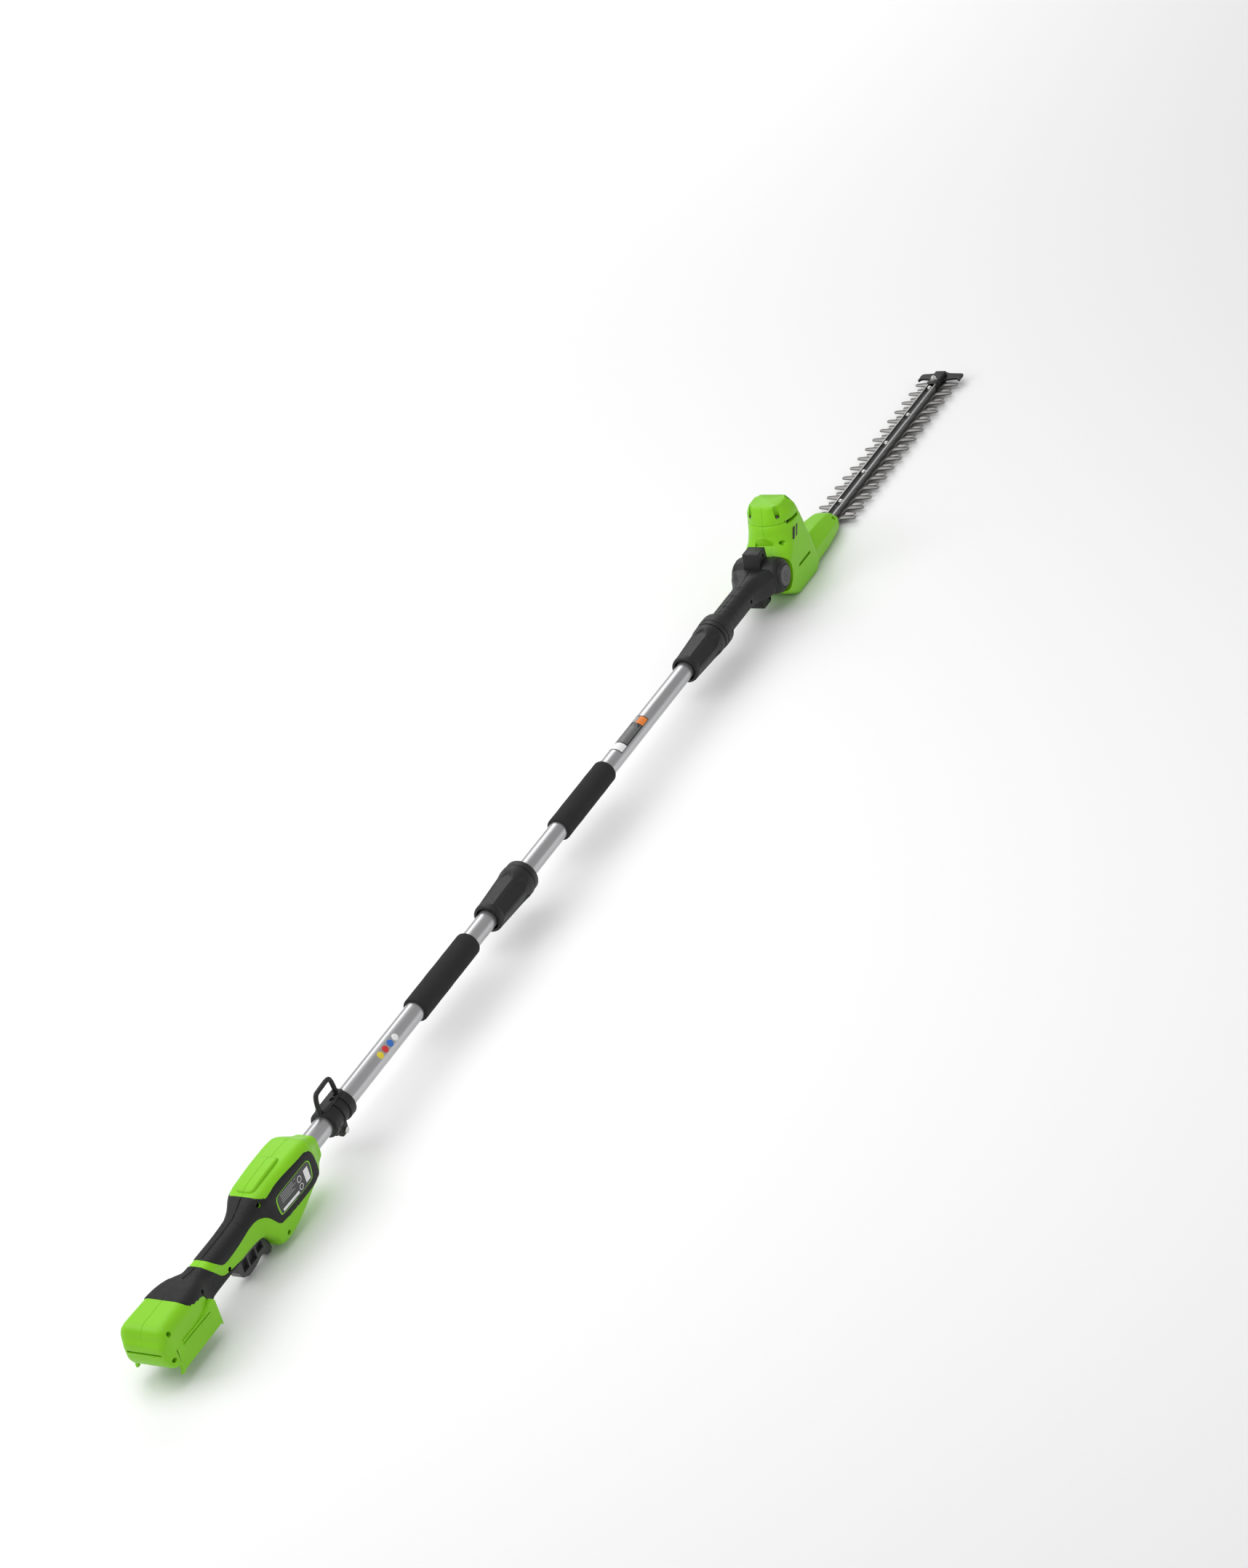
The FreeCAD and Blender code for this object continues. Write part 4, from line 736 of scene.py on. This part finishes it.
def buildClamp():
    # The collar's outside steps between end rings, a middle rib and two recessed bands.
    s, r, ring = clamp["start"], clamp["radius"], clamp["ring"]
    end = clamp["length"]
    x = [0, 0.9, 9, 10, 10.6, 21, 21.5, 23.6, 24, 36, 36.6, 38, 48.8, end]
    h = [ring - 1.4, ring - 0.6, ring - 0.2, ring - 0.8, r, r, ring - 0.4, ring - 0.4, r, r,
         ring - 0.2, ring, ring, ring - 1]
    profile = [(s, clamp["bore"])] + [(s + a, b) for a, b in zip(x, h)] + [(s + end, clamp["bore"])]
    turnedPiece("clampCollar", profile, "black_plastic", "clamp", hollow=True, replaced=["strap_clamp"])
    for side in (-1, 1):
        low, high = sorted((side * 1.5, side * 7.4))
        ear = prismPiece("clampEar" + ("R" if side < 0 else "L"), rounded(clamp["ear"], 2), low, high,
                         "black_plastic", "clamp", bevel=0.9)
        carve(ear, [prismShape(circle(50, -27.5, 2.7), -12, 12)])
    saddle = prismPiece("clampSaddle", clamp["saddle"], -7.5, 7.5, "black_plastic", "clamp", bevel=1.2)
    carve(saddle, [prismShape(rectangle(x, x + 7, -7, -1.5), 20.4, 30, "z") for x in (44, 54)])
    path = clamp["loop"]
    t = np.linspace(0, len(path) - 1, 120)
    smooth = easedRows([(k, *point) for k, point in enumerate(path)], t)
    rodPiece("strapLoop", smooth, clamp["rod"], "black_plastic", "clamp", squash=1.15)


buildTube("lowerTube", *pole["lower"], "handle", "lower_tube")
buildTube("middleTube", *pole["middle"], "middle_pole", "middle_tube")
buildFoam("foamLower", *foam["lower"], "handle", "foam_grip_lower")
buildFoam("foamUpper", *foam["upper"], "middle_pole", "foam_grip_upper")
buildNut("nutLower", nut["lower"], "lower_nut", "coupler_nut_lower")
buildNut("nutUpper", nut["upper"], "upper_nut", "coupler_nut_upper")
buildCollar()
buildClamp()
print("pole built")


# ---- neck and knuckle

neck = {
    # station: half width, top, bottom, upper radius, lower radius
    "rows": [
        (1258, 19.8, 19.8, -19.8, 19.4, 19.4), (1263, 20, 20, -20, 19.6, 19.6),
        (1346, 20, 20, -20, 19.6, 19.6),
        (1358, 21.6, 20.7, -20.9, 19.8, 19.8), (1368, 24.8, 21.7, -21.9, 19.6, 19.8),
        (1378, 29.6, 22.7, -22.6, 18.8, 19), (1386, 33.8, 23, -22.6, 18, 18),
        (1394, 36.8, 22.8, -22, 17, 17), (1403, 38.4, 21, -21, 15, 15),
        (1412, 38.8, 19.5, -19.5, 13, 13)],
    "rings": [(1227, 15.9), (1227, 25.4), (1228, 26.4), (1234.6, 26.4), (1235.2, 25.5), (1236.2, 25.5),
              (1237, 26.9),
              (1252, 26.9), (1255.5, 26.2), (1259, 24), (1262, 21.6), (1265, 20.3), (1268, 19.6),
              (1268, 15.9)],
    "panels": [[(1291, -13), (1291, 17), (1318, 21), (1318, -8)],
               [(1300, -8), (1300, 10), (1341, 12), (1341, -8)],
               [(1322, -13), (1322, 19), (1347, 21), (1347, -13)]],
    "bands": [1273.5, 1287],
    "wells": [(1339, -1, 20, 8), (1417, 37.5, 14.5, 8), (1406.5, -33, 14, 8)],
    "block": [(1396, 12), (1400.5, 30), (1403, 46.2), (1428.6, 46.2), (1429, 12)],
    "lug": [(1382, -12), (1380.5, -30), (1385, -40.5), (1409, -40.5), (1413, -36), (1413, -12)],
    "drum": [(-30, 17.7), (-42.2, 17.7), (-42.6, 18.3), (-42.6, 20.4), (-42, 21.2), (-40, 21.6),
             (-39.7, 22.4),
             (-38.9, 24.1), (-37.4, 25.9), (-35.2, 27.4), (-32.2, 28.5), (-28.4, 29), (26.4, 29),
             (30.2, 28.5),
             (33.2, 27.4), (35.6, 25.9), (37, 24.1), (37.6, 22.4), (38, 21.6), (39.6, 21.2), (40, 20.4),
             (40, 17.7),
             (31, 17.7)],
}
knuckleX = round((pivotX - zeroX) / mm, 3)


def knuckleCuts():
    # Room for the hub that swings inside, and for its tongue out to the front.
    tongue = rectangle(1419, 1480, -60, 27)
    return [prismShape(circle(knuckleX, 0, 25.6, 48), -16, 12.2), prismShape(tongue, -16, 12.2)]


def buildNeck():
    rings = turnedPiece("neckRings", neck["rings"], "black_plastic", "neck", hollow=True, segments=96)
    carve(rings, [prismShape(circle(1253, -2, 3), -60, -20)])
    stations = np.concatenate([np.arange(1258, 1348, 0.8), np.arange(1348, 1412.5, 1.5)])
    surface = roundedSections(stations, easedRows(neck["rows"], stations), arc=14, side=4, seam=0.4)
    normals = gridNormals(surface)
    # Lines pressed into the grip: x against the way round from the top, towards the right.
    around = np.arctan2(-surface[..., 1], surface[..., 2]) * 20
    x = surface[..., 0]
    groove = sum(np.exp(-(edgeDistance(x, around, panel) / 0.55) ** 2) for panel in neck["panels"])
    for station in neck["bands"]:
        groove = groove + np.exp(-((x - station) / 0.5) ** 2) * (np.abs(around - 4) < 26)
    surface = surface - normals * np.clip(groove, 0, 1)[..., None] * 0.55 * (x < 1350)[..., None]
    body = loftPiece("neckGrip", surface, "black_plastic", "neck",
                     ["neck_shell_left", "neck_shell_right"], crease=50)
    x0, z0, out, deep = neck["wells"][0]
    carve(body, knuckleCuts() + [prismShape(circle(x0, z0, 3), -60, deep - out)], 50)
    drum = turnedPiece("knuckleDrum", neck["drum"], "black_plastic", "neck", (knuckleX, 0, 0), "y",
                       segments=128)
    carve(drum, knuckleCuts())
    for name, outline, half, well in (("knuckleBlock", "block", 14.5, 1), ("knuckleLug", "lug", 14, 2)):
        piece = prismPiece(name, neck[outline], -half, half, "black_plastic", "neck", bevel=1.6)
        x0, z0, out, deep = neck["wells"][well]
        carve(piece, knuckleCuts() + [prismShape(circle(x0, z0, 3), -60, deep - out)])


button = {
    "profile": [(-34.5, 17), (-43, 17), (-44, 16.5), (-44.6, 15.4), (-44.6, 8.6), (-44.1, 8.2),
                (-44.1, 7.4),
                (-44.7, 7), (-44.7, 0.4)],
    "cap": [(32, 17), (40.4, 17), (41.4, 16.4), (41.8, 15.2), (41.8, 0.4)],
    "mark": [(1418.2, -3), (1419.6, -3.4), (1421.6, 2.8), (1420.2, 3.2)],
}


def buildButton():
    centre = (knuckleX, 0, 0)
    turnedPiece("releaseFace", button["profile"], "grey_plastic", "button", centre, "y",
                replaced=["release_button"])
    prismPiece("releaseMark", button["mark"], -44.95, -44.2, "black_plastic", "button", bevel=0.1)
    turnedPiece("pivotCover", button["cap"], "grey_plastic", "neck", centre, "y", replaced=["pivot_cap"])


buildNeck()
buildButton()
print("neck built")


# ---- motor head

head = {
    # height: half width, front, rear, front radius, rear radius (front and rear ahead of the tilt axis)
    "rows": [
        (-59, 33, 119, 44, 9, 8), (-58.3, 34.5, 121, 42.3, 10, 9), (-55.5, 37, 125, 37.5, 12, 10),
        (-46, 40, 131, 23, 14, 12), (-40, 41, 131.4, 12, 14, 12), (-34, 41.6, 130, 3.4, 14, 12),
        (-31, 41.8, 129, 2, 14, 12), (-8, 42, 123.5, 3, 14, 18), (10, 41.4, 119.4, 9, 14, 26),
        (15, 41, 118.3, 12, 14, 30),
        (18, 40.6, 117.7, 14.5, 14, 33), (24, 40.2, 116.4, 20, 14, 36), (30, 40, 115, 28, 14, 37),
        (35, 40, 113.7, 32, 14, 37.5), (46, 39.8, 110.6, 37.4, 14, 38), (61.6, 39.2, 105.4, 42.6, 14, 38),
        (62, 38.6, 104.8, 43.2, 14, 37.6)],
    "cap": [
        (62.3, 38.6, 104.8, 43.3, 14, 37.6), (62.7, 39.2, 105.2, 42.8, 14, 38),
        (70, 38.8, 103.2, 44.6, 14, 36),
        (75.5, 37.4, 102, 46.4, 13, 33), (82, 33.4, 100.2, 48.6, 12, 27), (88, 28.8, 98.2, 50.6, 10, 19),
        (90.2, 27.2, 97, 51.6, 9, 16), (91, 25.8, 95.6, 52.8, 9, 14)],
    # station: half width, top, bottom, half of the flat top, drop of the side facets, lower chamfer
    "snout": [
        (1508, 37, -7.6, -57.6, 16, 19, 8), (1540, 35.4, -10, -57, 15.6, 18.6, 8),
        (1570, 33.4, -12, -56.4, 14.6, 18, 7.6), (1601, 32, -12.6, -56, 14, 18, 7),
        (1630, 29.4, -16.2, -55.6, 12.8, 16.4, 7), (1656, 26, -20.4, -55, 11.2, 14, 6.4),
        (1665, 23.6, -23.6, -54.8, 10, 11.6, 5.6), (1672, 20.6, -27.4, -54.4, 8.4, 9, 4.6),
        (1677, 17.6, -31, -53.6, 6.6, 6.4, 3.4), (1678, 16.6, -32, -53, 6, 6, 3)],
    "wells": [(1462.5, 34.1), (1658, -31)],
    "capWells": [(1474.8, -22.6), (1512.5, -26.5), (1474.8, 22.6), (1512.5, 26.5)],
    "capScrew": [(71.8, 3), (74.4, 3), (74.9, 2.4), (74.9, 0.4)],
    "vents": [(1479, 1511, 58.2, 64), (1472, 1518, -14.6, -10)],
    "mark": [[(1478, 32), (1483, 32), (1492, 48), (1487, 48)],
             [(1488, 32), (1493, 32), (1502, 48), (1497, 48)]],
}


def facetSections(stations, sizes, turn=2.4, samples=5):
    # Eight-sided sections across X: each corner P becomes the curve (1-u)^2 A + 2u(1-u) P + u^2 B, where
    # A and B lie on the edges either side of it.
    half, top, bottom, flat, drop, low = np.array(sizes).T
    y = np.stack([flat, half, half, half - low, low - half, -half, -half, -flat], 1)
    z = np.stack([top, top - drop, bottom + low, bottom, bottom, bottom + low, top - drop, top], 1)
    corners = np.stack([y, z], -1)

    def along(shift):
        edge = np.roll(corners, shift, 1) - corners
        return corners + turn * edge / (np.linalg.norm(edge, axis=-1, keepdims=True) + 1e-9)

    u = np.linspace(0, 1, samples)[None, None, :, None]
    before, after, corner = along(1)[:, :, None], along(-1)[:, :, None], corners[:, :, None]
    curve = (1 - u) ** 2 * before + 2 * u * (1 - u) * corner + u ** 2 * after
    curve = curve.reshape(len(stations), -1, 2)
    return np.concatenate([np.asarray(stations, float)[:, None, None] + 0 * curve[..., :1], curve], -1)


def towerGrid(rows, step):
    # Rounded rectangles stacked upwards, front and rear measured from the tilt axis.
    rows = np.array(rows, float)
    heights = np.unique(np.concatenate([np.arange(rows[0, 0], rows[-1, 0], step), rows[:, 0]]))
    sizes = np.array(easedRows([tuple(row) for row in rows], heights))
    grid = roundedSections(heights, sizes, arc=9, side=14, seam=0.45)[..., [2, 1, 0]]
    grid[..., 0] += knuckleX
    return grid


def sweepCuts():
    # What the knuckle's drum, lug and block pass through as the head tilts.
    lug = [(knuckleX, 0)] + [(knuckleX + 47.5 * np.cos(a), 47.5 * np.sin(a))
                             for a in np.radians(np.linspace(180, 303.7, 32))]
    block = [(1390, 0), (1420, 0), (1456.5, 31.7), (1456.5, 60), (1390, 60)]
    drum = circle(knuckleX, 0, 30.5, 96)
    return [prismShape(drum, -60, 60), prismShape(lug, -16, 16), prismShape(block, -15.6, 15.6)]


def ventCuts(vents):
    cuts = []
    for x0, x1, z0, z1 in vents:
        outline = [(x0, z0), (x1, z0), (x1, z1), (x0 + 2, z1)]
        cuts += [prismShape(outline, -60, -31.5), prismShape(outline, 31.5, 60)]
    return cuts


def buildHead():
    wells = [prismShape(circle(x, z, 4), -60, -10.7) for x, z in head["wells"]]
    box = loftPiece("headBox", towerGrid(head["rows"], 2.2), "green_plastic", "head",
                    ["head_shell_left", "head_shell_right"], crease=34)
    carve(box, sweepCuts() + wells[:1] + ventCuts(head["vents"]), 34)
    cap = loftPiece("headCap", towerGrid(head["cap"], 1.5), "green_plastic", "head", ["motor_cap"],
                    crease=34)
    capWells = [prismShape(circle(x, y, 4.2), 72, 100, "z") for x, y in head["capWells"]]
    carve(cap, capWells + ventCuts(head["vents"][:1]), 34)
    for index, (x, y) in enumerate(head["capWells"]):
        turnedPiece("capScrew%d" % index, head["capScrew"], "dark_steel", "head", (x, y, 0), "z",
                    segments=24)
    rows = head["snout"]
    stations = np.unique(np.concatenate([np.arange(rows[0][0], rows[-1][0], 2.5), [row[0] for row in rows]]))
    surface = facetSections(stations, easedRows(rows, stations))
    snout = loftPiece("headSnout", surface, "green_plastic", "head", crease=24)
    blade = prismShape(rectangle(1640, 1700, -16, 16), -60, -45, "z")
    bar = prismShape(rectangle(1640, 1700, -9, 9), -60, -36, "z")
    carve(snout, wells[1:] + [blade, bar], 24)
    plate = rectangle(1482, 1600, -22, 22)
    prismPiece("gearPlate", plate, -58.8, -56.5, "dark_steel", "head", "z", replaced=["gearcase_plate"])
    # Each vent pocket gets a black sheet at its bottom: painted shade, standing for the dark, shaded inside of the
    # housing seen through the vent.
    for index, (x0, x1, z0, z1) in enumerate(head["vents"]):
        for side in (-1, 1):
            low, high = sorted((side * 31, side * 32))
            floor = rectangle(x0 - 1, x1 + 1, z0 - 1, z1 + 1)
            prismPiece("ventShade%d%s" % (index, "R" if side < 0 else "L"), floor, low, high,
                       "black_plastic", "head", bevel=0)
    for index, outline in enumerate(head["mark"]):
        prismPiece("sideMark%d" % index, outline, -40.2, -38, "black_plastic", "head", bevel=0.1)


buildHead()
print("head built")


# ---- blade, support bar and tip guard

blade = {
    "first": 1696, "pitch": 34, "teeth": 15, "start": 1620, "end": 2186, "spine": 12.5, "reach": 40.2,
    "low": -50.5, "high": -48,
    "movingStart": 1600, "movingEnd": 2178, "movingSpine": 11, "movingReach": 31, "movingLow": -53.1,
    "movingHigh": -50.9, "bolts": [1733.4, 1835.4, 1937.4, 2039.4, 2141.4], "tipScrew": 2164,
}


def toothedOutline(start, end, teeth, spine, tooth):
    # One side is the spine with the same tooth set on it at every station; the other side is its mirror.
    tooth = np.array(tooth, float)
    side = (np.array(teeth, float)[:, None, None] * (1, 0) + tooth[None]).reshape(-1, 2)
    side = np.concatenate([[(start, spine)], side, [(end, spine)]])
    return np.concatenate([side, side[::-1] * (1, -1)])


def stackShape(centre, profile, sides, turn=0.0):
    # Rings of (height, radius) stacked along Z, closed with flat ends; few sides give a hexagon.
    profile = np.array(profile, float)
    angle = np.arange(sides) * 2 * np.pi / sides + turn
    grid = np.stack([centre + profile[:, 1:] * np.cos(angle), profile[:, 1:] * np.sin(angle),
                     profile[:, :1] + 0 * angle], -1)
    faces = gridFaces(len(profile), sides)
    last = (len(profile) - 1) * sides
    return grid.reshape(-1, 3), faces + [list(range(sides))[::-1], list(range(last, last + sides))]


def buildBlade():
    stations = blade["first"] + blade["pitch"] * np.arange(blade["teeth"])
    tip = np.linspace(np.pi, 0, 9)
    crown = [(4.3 * np.cos(a), blade["reach"] - 4.3 + 4.3 * np.sin(a)) for a in tip]
    root = [(-9.5, blade["spine"]), (-8.0, 13.6), (-7.2, 16)]
    tooth = root + crown + [(-x, y) for x, y in root[::-1]]
    outline = toothedOutline(blade["start"], blade["end"], stations, blade["spine"], tooth)
    points, faces = prismShape(outline, blade["low"], blade["high"], "z")
    comb = addPiece("guardTeeth", points, faces, "blade_steel", "head", ["guard_comb"])
    bevelEdges(comb, 0.55, 30, 2, 50)
    middle = stations[:-1] + blade["pitch"] / 2
    spine, reach = blade["movingSpine"], blade["movingReach"]
    tooth = [(-8, spine), (-6.8, 13), (-4.5, reach - 2.6), (-3.2, reach - 1.2), (3.6, reach + 0.8),
             (4.9, reach - 0.8), (6.8, 13), (8, spine)]
    outline = toothedOutline(blade["movingStart"], blade["movingEnd"], middle, spine, tooth)
    points, faces = prismShape(outline, blade["movingLow"], blade["movingHigh"], "z")
    moving = addPiece("movingTeeth", points, faces, "blade_steel", "cutter", ["moving_blade"],
                      material=slotMaterial["ground_steel"])
    slots = []
    for x, reach in [(x, 9.5) for x in blade["bolts"][:-1]] + [(2152.7, 20.8)]:
        ends = np.radians(np.linspace(-90, 90, 9))
        right = np.column_stack([x + reach + 3 * np.cos(ends), 3 * np.sin(ends)])
        slots.append(prismShape(np.concatenate([right, (2 * x, 0) - right]), -60, -45, "z"))
    carve(moving, slots)
    bevelEdges(moving, 0.7, 30, 2, 50)


bar = {
    # the U section from its right lip round the floor to its left lip: across, height
    "section": [(-7.4, -38), (-7.4, -47.6), (-7, -48), (7, -48), (7.4, -47.6), (7.4, -38), (7.2, -37.6),
                (6.2, -37.6), (5.9, -38), (5.9, -42.8), (5.4, -43.3), (-5.4, -43.3), (-5.9, -42.8),
                (-5.9, -38), (-6.2, -37.6), (-7.2, -37.6)],
    "start": 1620, "end": 2172, "lip": 0.62,
}


def buildBar():
    section = np.array(bar["section"])
    points, faces = prismShape(section, bar["start"], bar["end"], "x")
    addPiece("barChannel", points, faces, "dark_steel", "head", ["support_bar"], 30,
             slotMaterial["bar_steel"])
    # Rounded beads along the top of the two lips, in a brighter steel than the channel: the bead is real shape, and
    # its brighter colour is a painted highlight along the lip edges.
    lipHighlights = []
    for side in (-1, 1):
        angle = np.arange(12) * np.pi / 6
        ring = np.column_stack([side * 6.7 + 1.0 * np.cos(angle), -37.7 + bar["lip"] * np.sin(angle)])
        lipHighlights.append(prismShape(ring, bar["start"], bar["end"], "x"))
    lip = addPiece("barLipHighlights", *joined(lipHighlights), "bright_steel", "head")
    smoothBelow(lip.data, 40)
    nuts, studs = [], []
    for index, x in enumerate(blade["bolts"]):
        nuts.append(stackShape(x, [(-43.4, 5.3), (-42.6, 5.3)], 28))
        nuts.append(stackShape(x, [(-42.6, 4.2), (-42.2, 4.7), (-38.6, 4.7), (-38.1, 4.0)], 6, 0.4 * index))
        studs.append(stackShape(x, [(-57, 2.5), (-36.8, 2.5), (-36.2, 2.0)], 20))
        studs.append(stackShape(x, [(-57, 4.4), (-56, 4.6), (-54.4, 4.6)], 24))
    addPiece("bladeNuts", *joined(nuts), "bright_steel", "head", ["blade_bolts"])
    addPiece("bladeStuds", *joined(studs), "bright_steel", "head")


tipGuard = {
    # left half of the wings from the nose round to the middle of the back
    "wings": [(2211.6, 0), (2211.2, 5), (2207, 12), (2205.4, 26), (2205, 34), (2203.4, 38.4),
              (2198, 39.8), (2190, 39),
              (2182.4, 39.4), (2180.6, 38), (2181, 36.2), (2186, 34.4), (2187.2, 29), (2184.4, 16),
              (2180, 8)],
    "block": [(2150, -47.6), (2150, -39.4), (2153.6, -35.4), (2156, -34.8), (2196, -34.8), (2199.4, -36),
              (2202.6, -47.6)],
    "ribs": [2170, 2176, 2182, 2188, 2194],
}


def buildTipGuard():
    side = np.array(tipGuard["wings"])
    outline = np.concatenate([side, side[:0:-1] * (1, -1)])
    wings = prismPiece("tipWings", outline, -48, -43.8, "black_plastic", "head", "z", bevel=1.1)
    carve(wings, [prismShape(rectangle(2100, 2172.4, -7.5, 7.5), -60, -37.4, "z")])
    block = prismPiece("tipBlock", tipGuard["block"], -9.4, 9.4, "black_plastic", "head", bevel=1.6,
                       replaced=["tip_guard"])
    screwX = blade["tipScrew"]
    barRoom = prismShape(rectangle(2100, 2172.2, -7.6, 7.6), -60, -37.3, "z")
    carve(block, [barRoom, stackShape(screwX, [(-60, 2.6), (-20, 2.6)], 20)])
    for index, x in enumerate(tipGuard["ribs"]):
        prismPiece("tipRib%d" % index, [(x, -46), (x + 2.2, -46), (x + 2.2, -36.4), (x, -36.4)], -10.3,
                   -8.8,
                   "black_plastic", "head", bevel=0.5)
    screw = [stackShape(screwX, [(-36, 5.4), (-34.2, 5.4)], 28),
             stackShape(screwX, [(-34.2, 4.3), (-33.6, 4.8), (-30.6, 4.8), (-30, 4.2)], 6, 0.3),
             stackShape(screwX, [(-58, 2.5), (-28.6, 2.5), (-27.8, 2)], 20)]
    addPiece("tipNut", *joined(screw), "bright_steel", "head", ["tip_screw"])


buildBlade()
buildBar()
buildTipGuard()
print("blade built")


# ---- printed labels on the pole

poleLabels = {
    # name: ends, middle angle and half angle in degrees, height above the tube, finish, body
    "warningBase": (887, 981, 100, 47, 0.10, "label", "middle_pole"),
    "warningWhite": (889, 906, 100, 44, 0.16, "whitePrint", "middle_pole"),
    "warningOrange": (961, 979, 118, 25, 0.16, "orangePrint", "middle_pole"),
    "warningGrey": (963, 978, 74, 15, 0.16, "greyPrint", "middle_pole"),
    "lines": (909, 958, [62, 70, 78, 86, 94, 102, 110, 118, 126, 134], 1.3, 0.16, "greyPrint", "middle_pole"),
    "signs": [(159, 138, 5.2, "yellowPrint"), (172, 138, 5.2, "redPrint"), (185, 138, 5.2, "bluePrint"),
              (198, 138, 5.2, "whitePrint")],
}


def tubePatch(name, stations, spread, middle, rise, finish, body):
    # A thin sheet on the tube: at each station an arc of the tube's radius + rise, its half width given
    # by spread in degrees, closed on the inside a little below the surface.
    across = np.linspace(-1, 1, 13)
    arc = np.concatenate([across, across[::-1]])
    lift = np.concatenate([np.full(13, rise), np.full(13, -0.3)])
    angle = np.radians(middle + np.asarray(spread, float)[:, None] * arc)
    radius = pole["radius"] + lift[None, :] + 0 * angle
    along = np.asarray(stations, float)[:, None] + 0 * angle
    grid = np.stack([along, radius * np.cos(angle), radius * np.sin(angle)], -1)
    return loftPiece(name, grid, "label", body, material=slotMaterial[finish])


def buildPoleLabels():
    for name in ("warningBase", "warningWhite", "warningOrange", "warningGrey"):
        start, end, middle, half, rise, finish, body = poleLabels[name]
        stations, spread = [start, start + 0.8, end - 0.8, end], [half - 2, half, half, half - 2]
        tubePatch(name, stations, spread, middle, rise, finish, body)
    start, end, angles, half, rise, finish, body = poleLabels["lines"]
    for index, angle in enumerate(angles):
        tubePatch("warningLine%d" % index, [start, end - 3 * (index % 3)], [half, half], angle, rise,
                  finish, body)
    for index, (x, angle, radius, finish) in enumerate(poleLabels["signs"]):
        turn = np.radians(np.linspace(4, 176, 19))
        spread = np.degrees(radius * np.sin(turn) / pole["radius"])
        tubePatch("tubeSign%d" % index, x - radius * np.cos(turn), spread, angle, 0.12, finish, "handle")


buildPoleLabels()
print("labels built")
